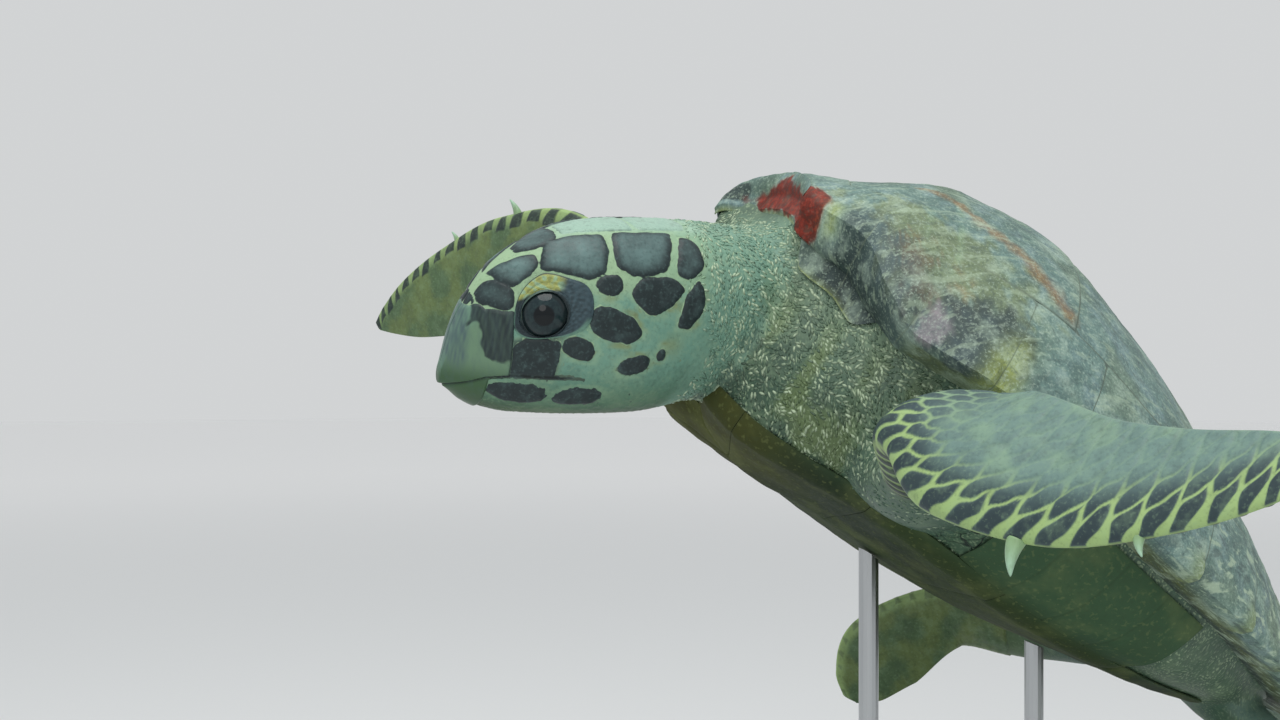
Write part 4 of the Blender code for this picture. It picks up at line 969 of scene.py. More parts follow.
def skin_values(points):
    """Tint, grain and crackle for points of the skin, from whichever part each lies on."""
    part, first, second = skin_places(points)
    grain = np.ones(len(points))
    wave, fine = ripple(points, 0.05, 41), ripple(points, 0.018, 42)
    body = placed(points, BODY.inverted()) / SCL
    # trunk: the sides and the groin; under the rim its flesh takes the belly's side colour, darkened as
    # painted shade
    a = np.abs(second)
    trunk = part == 0
    tint = mixed(SHOULDER, BELLY_SIDE, ease(1.15, 1.35, a) * trunk * 0.7)
    tint = mixed(tint, NECK_DARK * 0.8, trunk * ease(0.2, 0.9, fine + wave) * 0.4)
    # in front it takes the neck's colours, darker lower down as painted shade
    front = trunk * ease(-0.30, -0.38, body[:, 1]) * ease(1.62, 1.50, a)
    tint = mixed(tint, mixed(NECK_MID, NECK_LOW, ease(-0.05, -0.17, body[:, 2])), front)
    crackle = trunk * ease(0.20, 0.27, first) * ease(0.46, 0.38, first)
    crackle = crackle * ease(1.16, 1.26, a) * ease(1.50, 1.42, a)
    # neck
    neck = part == 2
    # painted shade: the neck darkens towards its underside
    under = ease(0.15, -0.65, np.sin(second))
    neck_shade = mixed(NECK_MID, NECK_LOW, under)
    neck_shade = mixed(neck_shade, COLLAR, ease(0.20, 0.0, first) * (1.0 - 0.5 * under))
    # painted shade in the creases between the neck's rolls of skin, deeper underneath
    crease_shade = ease(0.1, -0.8, neck_folds(first, second)) * ease(0.05, 0.3, first)
    neck_shade = mixed(neck_shade, NECK_DARK * 0.7, 0.30 * ease(0.10, 0.24, first))
    neck_shade = mixed(neck_shade, NECK_DARK * 0.6, crease_shade * (0.35 + 0.4 * under))
    tint = np.where(neck[:, None], neck_shade, tint)
    # painted shade right under the neck
    tint = mixed(tint, BELLY_SHADE, neck * ease(-0.7, -0.98, np.sin(second)))
    # yellow-green stains, and dark patches of painted shade, low on the neck and shoulders
    low = ease(-0.03, -0.12, body[:, 2]) * ease(-0.24, -0.32, body[:, 1]) * (neck | trunk)
    tint = mixed(tint, STAIN, low * ease(0.15, 0.7, wave) * 0.55)
    tint = mixed(tint, NECK_DARK * 0.75, low * ease(0.1, 0.8, fine - 0.5 * wave) * 0.5)
    # head
    head = part == 1
    in_head = placed(points, HEAD.inverted())
    head_shade = head_tint(np.where(head, first, 0.5), np.where(head, second, 0.0), in_head)
    head_shade = mixed(COLLAR, head_shade, ease(0.02, 0.12, first + 0.012 * wave))
    tint = np.where(head[:, None], head_shade, tint)
    ahead = 0.10 * ease(-0.1, 0.5, np.sin(second)) * head
    grain = np.where(head, 1.0 - ease(0.02, 0.13, first - ahead + 0.012 * wave), grain)
    # limbs
    for number, (_, name, up) in enumerate(LIMBS):
        mine = part == 3 + number
        if not mine.any():
            continue
        u, turn = first[mine], second[mine]
        dorsal = ease(-0.25, 0.25, np.sin(turn) * up)
        pale = mixed(UNDER_GREEN, FLIPPER_GREY, dorsal)
        arm = mixed(ARM_UNDER, SHOULDER, dorsal)
        out = ease(0.24, 0.30, u) if name.startswith("front") else ease(0.12, 0.3, u)
        tint[mine] = mixed(arm, pale, out)
        grain[mine] = (1.0 - out) * lerp(0.35, 1.0, dorsal)
        crackle[mine] = (1.0 - dorsal) * (1.0 - ease(0.1, 0.2, u)) * name.startswith("front")
    return {"tint": np.clip(tint, 0.0, 1.0), "grain": grain, "crackle": crackle}


# ---------------- scales and horn over the skin
def coat_lift(inside, rise, width):
    """Height over the solids' surface: a rounded scale whose sheet runs under the skin between scales."""
    over = lerp(-1.4 * COAT, rise, ease(-0.0009, width, inside))
    return np.maximum(over, -2.6 * COAT)


def build_head_scutes(material):
    """The head's scutes and small scales, as one sheet that runs under the skin between them."""
    around, rings = 400, 200
    mesh, i, j, _ = grid(around, rings)
    angle = turned(i, around)
    place = np.interp(lerp(0.09, 1.0, j / rings), HEAD_SHARE, HEAD_PLACE)
    inside, tone = scute_field(place, angle)
    raw = head_ring(place, angle)
    upper, lower = beak_fields(place, angle, raw)
    inside = np.minimum(inside, -np.maximum(upper, lower) - 0.0003)
    inside = np.minimum(inside, (around_eye(place, angle) - 0.985) * 0.016)
    off = np.abs(over_mouth(place, raw))
    inside = np.minimum(inside, off - 0.0010 + ease(0.62, 0.52, place))
    line = 0.0008 * ease(0.58, 0.66, place) * ease(0.86, 0.80, place) - off
    inside = np.maximum(inside, np.where(line > 0, line, -1.0))
    degrees = np.degrees(fold_angle(angle))
    crown = ease(70, 74, degrees) * ease(0.62, 0.61, place)
    lift = coat_lift(inside, 0.00050 - 0.00022 * crown, 0.0024)
    lift += 0.00012 * ripple(raw, 0.0045, 51) * (inside > 0.001)
    nostril = np.hypot((place - 0.930) * HEAD_LENGTH, np.radians(degrees - 66.0) * 0.026)
    hole = np.exp(-(nostril / 0.0014) ** 2)
    lift = lift - 0.0030 * hole - 0.0085 * ease(1.0, 0.72, around_eye(place, angle))
    points = placed(head_ring(place, angle, lift), HEAD)
    cloud = 0.5 + 0.5 * ripple(raw, 0.018, 52)
    inner = ease(0.0004, 0.0070, inside)
    tint = mixed(SLATE, SLATE_PALE, np.clip(tone * inner * lerp(0.55, 1.15, cloud), 0, 1))
    tint = mixed(tint, SLATE * 0.55, (tone < 0.2) * ease(0.001, 0.006, inside) * 0.5)
    tint = mixed(tint, CROWN_GREEN, crown * 0.88)
    # painted shade deep in the nostril
    tint = mixed(tint, SLATE * 0.25, hole)
    # painted shade along the mouth's gap
    tint = mixed(tint, SLATE * 0.3, ease(-0.0004, 0.0002, line))
    paling = (1.0 - 0.6 * crown) * ease(-30, 10, degrees) * (line < -0.0004)
    values = {"tint": tint, "inside": inside * 1000.0, "paling": paling}
    closed_mesh(mesh, points, values, unrolled(i, around, j, rings))
    return add_piece("head_scutes", mesh, material, sharp=0)


def horn_tint(place, angle, height, points):
    """Pale horn with a dark patch on its side and grey streaks down its front."""
    degrees = np.degrees(fold_angle(angle))
    ragged = ripple(points, 0.007, 55) * 0.006 + ripple(points, 0.020, 56) * 0.006
    tint = mixed(HORN_PALE, HORN_GREEN, ease(-0.12, -0.22, height))
    tint = mixed(tint, COLLAR * 0.9, ease(28, 44, degrees) * 0.6)
    front = ease(0.925, 0.950, place) * ease(-0.20, -0.12, height)
    streaks = 0.5 + 0.5 * ripple(points * np.array((1.0, 1.0, 0.22)), 0.0035, 57)
    tint = mixed(tint, HORN_GREY, front * lerp(0.45, 1.0, streaks))
    edge = np.interp(degrees, (-9, -5.5, 0, 13, 30, 38, 46, 52),
                     (0.80, 0.840, 0.877, 0.888, 0.906, 0.930, 0.938, 0.93))
    under = np.interp(place, (0.785, 0.83, 0.87), (-8.0, -8.5, -3.0))
    patch = ease(0.0045, -0.0045, place - edge + ragged) * ease(-1.6, 1.6, degrees - under + 260 * ragged)
    tint = mixed(tint, SLATE, patch * lerp(0.86, 1.0, streaks))
    return mixed(tint, SLATE, ease(0.792, 0.787, place) * ease(-22, -17, degrees) * 0.7)


UPPER, LOWER = 0, 1


def build_horn(name, which, material, replaces):
    """The horn of the beak or of the jaw."""
    around, rings = 340, 220
    mesh, i, j, _ = grid(around, rings)
    angle = turned(i, around)
    place = np.interp(lerp(0.57, 1.0, j / rings), HEAD_SHARE, HEAD_PLACE)
    raw = head_ring(place, angle)
    inside = beak_fields(place, angle, raw)[which]
    lift = coat_lift(inside, 0.00060, 0.0018)
    height = raw[:, 2] / HEAD_LENGTH
    points = placed(head_ring(place, angle, lift), HEAD)
    if which == UPPER:
        tint = horn_tint(place, angle, height, raw)
    else:
        # darker towards the chin: its green, partly painted shade
        tint = mixed(HORN_GREEN, CHIN_GREEN, ease(-0.22, -0.29, height))
    off = np.abs(over_mouth(place, raw))
    # painted shade along the mouth's gap
    tint = mixed(tint, SLATE * 0.5, 0.7 * ease(0.0009, 0.0, off - 0.0004))
    closed_mesh(mesh, points, {"tint": tint}, unrolled(i, around, j, rings))
    return add_piece(name, mesh, material, replaces, sharp=0)


def build_limb_scales(limb, name, up, material):
    """One sheet of scales over the limb: slate ones above, and a dark leading row underneath."""
    kind = name.split("_")[0]
    along, around = (430, 190) if kind == "front" else (200, 130)
    mesh, i, j, _ = grid(around, along)
    turn = turned(i, around)
    first = 0.265 if kind == "front" else 0.28
    u = lerp(first, 0.997, j / along)
    upper = np.sin(turn) * up > 0
    border, own = limb_field(limb, kind, u, turn, upper)
    _, d = limb_chart(limb, u, turn)
    chord = 2.0 * limb.half_chord(u)
    trail = chord - d
    size = ease(0.0, 0.050, chord)
    gap = 0.0003 + 0.0026 * size * ease(0.015, 0.0, d) * ease(0.30, 0.52, u)
    inside = np.minimum(border - gap, np.minimum(d + 0.0004, trail - 0.0008))
    point = limb.point(u, turn)
    wave, fine = ripple(point, 0.030, 13), ripple(point, 0.007, 14)
    # the dark scales' reach underneath, from the leading edge
    deep = 0.0105 if kind == "front" else 0.0060
    deep = deep + 0.009 * ease(0.50, 0.38, u) + 0.0015 * np.sin(own * 40.0)
    under = np.minimum(inside - 0.0004, deep - d)
    raised = np.where(upper, inside, np.maximum(under, inside - 0.001))
    lift = 0.0001 + 0.00050 * ease(0.0, 0.0018, raised)
    start = (u - first) * limb.run[-1] - 0.005 - 0.003 * own
    lift = np.where(start < 0, lerp(lift, -0.0018, ease(0.0, -0.0015, start)), lift)
    points = placed(limb.point(u, turn, lift), BODY)
    inner = ease(0.017, 0.038, d) * ease(0.36, 0.48, u)
    top = mixed(FLIPPER_SLATE, FLIPPER_GREY, np.clip(inner * 0.9 + 0.10 * own, 0, 1))
    top = mixed(top, SLATE, 0.55 * ease(0.030, 0.008, d) * ease(0.0003, 0.0020, inside))
    line = mixed(FLIPPER_PALE, WEDGE, ease(0.045, 0.018, d))
    top = mixed(top, line, ease(0.0009, 0.0001, inside) * lerp(0.95, 0.16, inner))
    top = mixed(top, FLIPPER_PALE, 0.30 * ease(0.1, 0.9, wave) * inner)
    low = mixed(UNDER_YELLOW, UNDER_GREEN, ease(-0.6, 0.7, wave + 0.2 * fine))
    low = mixed(low, WEDGE, ease(0.012, 0.004, d) * 0.55)
    low = mixed(low, SLATE, ease(0.0, 0.0008, under) * (0.95 if kind == "front" else 0.4))
    tint = np.where(upper[:, None], top, low)
    tint = mixed(tint, WEDGE, ease(0.0016, 0.0006, d) * ease(0.0008, 0.0, border - gap) * 0.75)
    closed_mesh(mesh, points, {"tint": tint}, unrolled(i, around, j, along))
    return add_piece(f"scales_{name}", mesh, material, sharp=0)


def granule_shape():
    """A small low pebble, as points and faces, about 1 across."""
    bm = bmesh.new()
    bmesh.ops.create_uvsphere(bm, u_segments=6, v_segments=2, radius=0.5)
    points = np.array([v.co for v in bm.verts])
    faces = [[v.index for v in face.verts] for face in bm.faces]
    bm.free()
    return points, faces


def granule_spots(mesh, rng, tries=70000, most=15000, apart=0.0022):
    """Places for granules on the skin, no two nearer than apart: the skin's vertex there, the place
    and the way out."""
    mesh.calc_loop_triangles()
    corners = np.empty(len(mesh.loop_triangles) * 3, np.int32)
    mesh.loop_triangles.foreach_get("vertices", corners)
    corners = corners.reshape(-1, 3)
    points = mesh_points(mesh)
    grain, crackle = read_values(mesh, "grain"), read_values(mesh, "crackle")
    body = placed(points, BODY.inverted()) / SCL
    # close together on the neck and over the shoulders, sparse behind
    ahead = ease(-0.20, -0.34, body[:, 1]) * ease(-0.30, -0.08, body[:, 2])
    ahead = ahead + 0.35 * ease(-0.10, -0.30, body[:, 1])
    wanted = grain * (1.0 - crackle) * ahead * (body[:, 1] > -0.495 - 0.35 * (body[:, 2] < 0.0))
    a, b, c = (points[corners[:, k]] for k in range(3))
    normal = np.cross(b - a, c - a)
    area = np.linalg.norm(normal, axis=1) / 2
    normal = unit(normal)
    chance = area * wanted[corners].mean(1)
    pick = rng.choice(len(corners), tries, p=chance / chance.sum())
    r, s = rng.random((2, len(pick), 1))
    flip = r + s > 1
    r, s = np.where(flip, 1 - r, r), np.where(flip, 1 - s, s)
    spots = a[pick] + (b - a)[pick] * r + (c - a)[pick] * s
    tree = point_tree(spots)
    taken, dropped = [], np.zeros(len(spots), bool)
    for number, spot in enumerate(spots):
        if dropped[number]:
            continue
        taken.append(number)
        for _, other, _ in tree.find_range(spot, apart):
            dropped[other] = True
        if len(taken) >= most:
            break
    return corners[pick][taken][:, 0], spots[taken], normal[pick][taken]


def granule_mesh(points, faces):
    """One mesh of many granules, from the points of each and the faces they share."""
    count, per = points.shape[:2]
    every = [[per * k + corner for corner in face] for k in range(count) for face in faces]
    made = bpy.data.meshes.new("granules")
    made.from_pydata(points.reshape(-1, 3).tolist(), [], every)
    return made


def build_granules(skin, material):
    """Small raised scales over the neck and shoulders, joined in one mesh."""
    rng = np.random.default_rng(61)
    vertex, spots, normals = granule_spots(skin.data, rng)
    round_neck = unit(np.cross(np.array(HEAD.to_3x3() @ Vector((0.0, 1.0, 0.0))), normals))
    turn = 0.5 + 1.1 * ripple(spots, 0.024, 62) + 0.22 * rng.normal(size=len(spots))
    across = np.cross(normals, round_neck)
    long = round_neck * np.cos(turn)[:, None] + across * np.sin(turn)[:, None]
    wide = np.cross(normals, long)
    dome, faces = granule_shape()
    length = rng.uniform(0.0038, 0.0062, len(spots))
    width = rng.uniform(0.0015, 0.0023, len(spots))
    height = rng.uniform(0.0004, 0.0008, len(spots))
    points = (spots[:, None, :] + long[:, None, :] * (dome[None, :, 0:1] * length[:, None, None])
              + wide[:, None, :] * (dome[None, :, 1:2] * width[:, None, None])
              + normals[:, None, :] * (dome[None, :, 2:3] * height[:, None, None] * 2.0))
    made = granule_mesh(points, faces)
    # pale high on the neck and darker low down, partly as painted light and shade and partly at random, over
    # the skin's own colour
    lit_from_above = ease(-0.08, 0.04, placed(spots, BODY.inverted())[:, 2] / SCL)
    tone = 0.48 + 0.38 * lit_from_above + 0.30 * ripple(spots, 0.014, 63) + 0.20 * rng.normal(size=len(spots))
    tone = np.clip(tone, 0.0, 1.0)
    below = read_values(skin.data, "tint", 4)[vertex, :3].astype(float)
    tint = mixed(below, GRANULE_DARK, 0.30 * ease(0.35, 0.05, tone))
    tint = mixed(tint, GRANULE_PALE, 0.80 * ease(0.38, 0.90, tone))
    head_spots = placed(spots, HEAD.inverted())
    roll = np.arctan2(head_spots[:, 2], head_spots[:, 0]) / (2 * math.pi) + 0.5
    reach = (head_spots[:, 1] + 0.1) / 0.5
    patch = np.stack((0.02 + 0.96 * roll, np.clip(0.02 + 0.96 * reach, 0.0, 1.0)), 1)
    bake = patch[:, None, :] + 0.003 * dome[None, :, :2]
    write_values(made, {"tint": np.repeat(tint, len(dome), axis=0)})
    write_bake_map(made, bake.reshape(-1, 2))
    return add_piece("neck_granules", made, material, sharp=0)


# ---------------- eyes and lids
def build_eye(sign, name, material):
    """A ball whose gaze value is the angle from where it looks, in degrees."""
    bm = bmesh.new()
    bmesh.ops.create_uvsphere(bm, u_segments=64, v_segments=40, radius=EYE_BALL)
    turn = Matrix.Rotation(sign * math.radians(90), 3, "Y")
    bmesh.ops.rotate(bm, verts=bm.verts, cent=(0, 0, 0), matrix=turn)
    bmesh.ops.translate(bm, verts=bm.verts, vec=eye_centre(sign))
    mesh = mesh_from(bm, name)
    _, out = head_point(EYE_PLACE, EYE_TURN, sign)
    aim = unit(mesh_points(mesh) - eye_centre(sign)) @ out
    write_values(mesh, {"gaze": np.degrees(np.arccos(np.clip(aim, -1, 1)))})
    mesh.transform(HEAD)
    return add_piece(name, mesh, material, [name], sharp=0)


def build_lids(sign, name, material):
    """A closed ring round the eye: from under the cheek's skin, over folded lids, to a thin lip on the
    ball and back under the skin."""
    around, top = 260, 30
    share = np.concatenate((np.linspace(0.0, 1.0, top), (1.0, 0.99, 0.96, 0.6, 0.2)))
    sink = np.concatenate((np.zeros(top), (0.0006, 0.0014, 0.0030, 0.0062, 0.0062)))
    mesh, i, j, _ = grid(around, len(share))
    turn = turned(i, around)
    s, drop = share[j % len(share)], sink[j % len(share)]
    c, up = np.cos(turn), np.sin(turn)
    along, over = lid_edge(turn)
    opening = (np.abs(c) ** 1.8 + np.abs(up) ** 1.8) ** (-1 / 1.8)
    place = lerp(LID_PLACE + along, EYE_PLACE + 0.074 * c * opening, s)
    angle = lerp(LID_TURN + over, EYE_TURN + np.radians(np.where(up > 0, 11.6, 10.6)) * up * opening, s)
    angle = angle if sign > 0 else math.pi - angle
    skin = head_ring(place, angle)
    _, out = head_point(LID_PLACE, LID_TURN, sign)
    centre = eye_centre(sign)
    ball = centre + unit(skin - centre) * (EYE_BALL + 0.0011)
    points = lerp(skin, ball, ease(0.0, 0.92, s)[:, None])
    above = (points - skin) @ out
    least = lerp(-0.0013, 0.0006, ease(0.0, 0.10, s))
    points = points + out * np.maximum(least - above, 0.0)[:, None]
    fold = 0.0005 * rounded(s, 0.36, 0.05) * ease(-0.1, 0.3, up) + 0.0005 * rounded(s, 0.66, 0.05)
    fold = fold + 0.0006 * rounded(s, 0.80, 0.04) * ease(0.2, -0.3, up)
    pleats = 0.00022 * ripple(np.stack((s * 0.020, turn * 0.010, 0 * s), -1), 0.0024, 65) * ease(0.05, 0.2, s)
    points = points + out * ((pleats - fold) * (drop == 0) - drop)[:, None]
    shown = np.degrees(fold_angle(angle))
    wrinkle = 0.5 + 0.5 * ripple(np.stack((s * 0.020, turn * 0.014, 0 * s), -1), 0.0032, 66)
    tint = mixed(LID_DARK, LID_BLUE, ease(0.1, -0.5, c) * lerp(0.25, 0.85, wrinkle) * ease(0.95, 0.7, s))
    crescent = ease(33.5, 36.5, shown) * ease(0.625, 0.66, place) * ease(0.02, 0.07, s)
    speck = ripple(np.stack((place * 0.195, angle * CHEEK_ROUND, 0 * s), -1), 0.0040, 67)
    yellow = mixed(LID_YELLOW, PALE_SEAM, ease(-0.2, 0.6, speck))
    yellow = mixed(yellow, MUSTARD, ease(0.25, 0.9, -speck) * 0.6)
    tint = mixed(tint, yellow, crescent)
    tint = mixed(tint, LID_DARK, ease(0.70, 0.80, s))
    # painted highlight along the upper lid
    lid_highlight = ease(0.70, 0.84, s) * ease(0.35, 0.7, up) * ease(-0.45, 0.1, c) * 0.4
    tint = mixed(tint, LID_HIGHLIGHT, lid_highlight * (drop == 0))
    tint = mixed(tint, LID_LINE, ease(0.22, 0.08, s) * ease(-0.25, -0.6, up) * 0.9)
    tint = mixed(tint, LID_LINE, ease(0.20, 0.06, s) * ease(0.5, 0.8, c) * ease(0.4, 0.1, np.abs(up)) * 0.6)
    closed_mesh(mesh, placed(points, HEAD), {"tint": tint})
    return add_piece(name, mesh, material, sharp=0)


# ---------------- shell
def shell_tint(q, side, points):
    """Shades of the back by its own terms: q back from the front, side out to the rim."""
    a = np.abs(side)
    wave, mid, fine = ripple(points, 0.10, 71), ripple(points, 0.040, 78), ripple(points, 0.014, 72)
    tint = mixed(SHELL_GREY, SHELL_TOP, ease(0.80, 0.35, a) * ease(0.75, 0.3, q))
    tint = mixed(tint, SHELL_REAR, ease(0.45, 0.85, q))
    tint = mixed(tint, SHELL_OLIVE, 0.30 * ease(0.05, 0.75, 0.6 * wave + 0.5 * mid))
    tint = mixed(tint, SHELL_BLUE, 0.45 * ease(0.1, 0.8, 0.6 * fine - 0.6 * mid))

    def spot(q0, side0, far_q, far_side, ragged=0.25):
        far = np.hypot((q - q0) / far_q, (side - side0) / far_side) + ragged * (0.6 * fine + 0.5 * mid)
        return ease(1.15, 0.80, far)

    def streak(q0, side0, q1, side1, width):
        share = np.clip(((q - q0) * (q1 - q0) + (side - side0) * (side1 - side0) * 0.25)
                        / ((q1 - q0) ** 2 + (side1 - side0) ** 2 * 0.25), 0, 1)
        far = np.hypot(q - lerp(q0, q1, share), (side - lerp(side0, side1, share)) * 0.5)
        return ease(width, width * 0.3, far + 0.35 * width * fine)

    # olive and rusty ground above the front rim
    tint = mixed(tint, SHELL_OLIVE, 0.75 * spot(0.155, 0.86, 0.10, 0.13, 0.5))
    tint = mixed(tint, RUST, 0.55 * spot(0.150, 0.93, 0.060, 0.09, 0.6) * ease(-0.3, 0.5, fine + mid))
    tint = mixed(tint, RUST, 0.70 * streak(0.12, 0.52, 0.28, 0.80, 0.016))
    tint = mixed(tint, PALE_SEAM, 0.35 * streak(0.153, 0.60, 0.174, 0.88, 0.004))
    tint = mixed(tint, PALE_SEAM, 0.30 * streak(0.126, 0.70, 0.138, 0.92, 0.004))
    # painted shade on the front rim's face, which turns forward and down, and its soft upper edge
    dark = ease(0.046, 0.062, q + 0.006 * mid) * ease(0.190, 0.160, q + 0.010 * mid)
    tint = mixed(tint, SHELL_DARK, 0.62 * dark * ease(0.86, 0.98, a + 0.03 * mid + 0.02 * fine))
    tint = mixed(tint, SHELL_DEEP, 0.60 * dark * ease(0.97, 1.03, a + 0.02 * mid) * ease(0.175, 0.140, q))
    # painted shade under the front rim
    below = 0.72 * ease(1.05, 1.10, a) * np.maximum(ease(0.008, 0.020, q), ease(1.14, 1.18, a))
    tint = mixed(tint, SHELL_DEEP, below * ease(0.160, 0.130, q) * ease(-0.004, 0.0, q))
    # the olive under the rim, darkened as painted shade
    olive = 0.80 * ease(1.0, 1.04, a) * ease(0.160, 0.190, q + 0.01 * mid) * ease(0.60, 0.40, q)
    tint = mixed(tint, UNDER_OLIVE, olive)
    band = spot(0.222, 0.975, 0.048, 0.065, 0.45)
    tint = mixed(tint, SHELL_DARK, 0.85 * band)
    tint = mixed(tint, ROSE, 0.60 * spot(0.182, 0.985, 0.012, 0.020, 0.5) * (side > 0))
    edge = ease(1.2315, 1.2345, a) * ease(0.16, 0.13, q) * (q > 0.0) + ease(-0.032, -0.035, q)
    tint = mixed(tint, TIP_YELLOW, 0.7 * np.clip(edge, 0.0, 1.0))

    def block(q0, side0, far_q, far_side):
        far = (((q - q0) / far_q) ** 4 + ((side - side0) / far_side) ** 4) ** 0.25
        return ease(1.12, 0.90, far + 0.14 * fine + 0.08 * mid)

    tint = mixed(tint, SHELL_DEEP, 0.95 * block(-0.013, -0.84, 0.011, 0.17))
    return mixed(tint, BRICK, np.maximum(block(-0.019, 0.30, 0.0135, 0.80), block(0.003, 1.065, 0.024, 0.12)))


def tip_marks(q, a, tint):
    """Yellow points along the rim."""
    step = np.mod(q * SEGMENTS, 2.0)
    near = ease(1.30, 1.85, step) * ease(0.95, 1.0, a) * ease(1.14, 1.04, a) * ease(0.17, 0.21, q)
    strong = rounded(q, 0.253, 0.014) * ease(0.90, 0.99, a)
    tint = mixed(tint, TIP_YELLOW, 0.55 * near)
    tint = mixed(tint, TIP_YELLOW, 0.85 * strong * ease(1.18, 1.10, a))
    return mixed(tint, TIP_YELLOW, 0.8 * rounded(q, 0.040, 0.009) * ease(0.93, 1.0, a) * ease(1.10, 1.03, a))


def end_step(j, last):
    """1 in the first row, -1 in the last, 0 between."""
    return (j == 0) * 1.0 - (j == last)


def two_faces(layer, upper, lower, thinnest=THINNEST):
    """A plate's heights over the flesh: its upper face is layer 1."""
    return np.where(layer == 1, np.maximum(upper, thinnest), lower)


PLATE_GAP = 0.00012  # half the gap between two plates of the back, in metres
GROWTH_RINGS = 420.0  # radians of growth rings to a metre


def plate_mesh(first, last, low, high, extra, spacing=0.0042):
    """A fine plate between seams, low(q) and high(q) being its lines across; a little thicker behind."""
    q_mid = max((first + last) / 2 / SEGMENTS, 0.0)
    wide = float((high(q_mid) - low(q_mid)) * cross_length(np.array(q_mid)) * SCL)
    long = (last - first) / SEGMENTS * SCL
    across, along = max(10, round(abs(wide) / spacing)), max(8, round(long / spacing))
    mesh, i, j, layer = grid(across, along, True)
    q = lerp(first, last, j / along) / SEGMENTS
    q = np.clip(q + PLATE_GAP / SCL * end_step(j, along), -0.1, 1.0)
    over = np.maximum(q, 0.0)
    start, stop = low(over), high(over)
    inset = PLATE_GAP / SCL / np.maximum(cross_length(over), 0.05)
    side = lerp(start, stop, i / across) + inset * end_step(i, across) * np.sign(stop - start)
    share = j / along
    edge_side = np.minimum(i, across - i) / across * abs(wide)
    edge_front, edge_rear = share * long, (along - j) / along * long
    edge = np.minimum(np.minimum(edge_side, edge_rear), edge_front)
    where = shell_point(q, side)
    top = lerp(0.0022, 0.0031, share**1.6) + extra - 0.0006 * (1.0 - ease(0.0, 0.0028, edge))
    inward = np.minimum(np.minimum(edge_side, edge_rear), edge_front * 1.5)
    rings = np.sin(inward * GROWTH_RINGS + ripple(where, 0.03, 73) * 2)
    top = top + 0.00010 * rings * ease(0.006, 0.012, np.minimum(edge_side, edge_front))
    dents = 0.00030 * ripple(where, 0.018, 74) + 0.0007 * ripple(where, 0.05, 75)
    top = top + dents * ease(0.0, 0.006, edge) + brow(q, side)
    points = shell_point(q, side, two_faces(layer, top, 0.00048))
    values = {"tint": shell_tint(q, side, where), "edge": edge * 1000.0, "back": q, "rimward": np.abs(side)}
    return closed_mesh(mesh, placed(points, BODY), values)


def build_front_edge(material):
    """The shell's front face, from the nuchal plate down over the neck."""
    across, steps = 96, 22
    mesh, i, j, layer = grid(across, steps, True)
    side, down = lerp(-1.0, 1.0, i / across), (j / steps) ** 1.5
    q = -FRONT_FALL * down
    lip = 0.0025 + brow(0.0 * side, side)
    top = lerp(lip, 0.0042, ease(0.0, 0.35, down)) * ease(1.0, 0.86, down)
    top = top + 0.0004 * ripple(shell_point(q, side), 0.018, 79)
    points = shell_point(q, side, two_faces(layer, top, 0.0005))
    values = {"tint": shell_tint(q, side, points), "edge": 10.0 + 0 * q, "back": q, "rimward": np.abs(side)}
    closed_mesh(mesh, placed(points, BODY), values)
    add_piece("front_edge", mesh, material)


def build_back(material):
    """The nuchal plate, the front face, and the plates of the ridge and of the ribs."""
    mesh = plate_mesh(0, 1, lambda q: -band_edge(q), band_edge, 0.0)
    add_piece("nuchal_plate", mesh, material, ["nuchal"])
    build_front_edge(material)
    seams = (1, 5, 10, 14, 19, 22)
    for number, (first, last) in enumerate(zip(seams, seams[1:]), 1):
        mesh = plate_mesh(first, last, lambda q: -ridge_edge(q), ridge_edge, 0.0002)
        add_piece(f"ridge_plate_{number}", mesh, material, [f"vertebral_{number}"])
    seams = (1, 7, 12, 17, 22)
    for name, sign in SIDES:
        for number, (first, last) in enumerate(zip(seams, seams[1:]), 1):
            mesh = plate_mesh(first, last, lambda q: sign * ridge_edge(q), lambda q: sign * band_edge(q), 0.0)
            add_piece(f"rib_plate_{name}_{number}", mesh, material, [f"costal_{name}_{number}"])


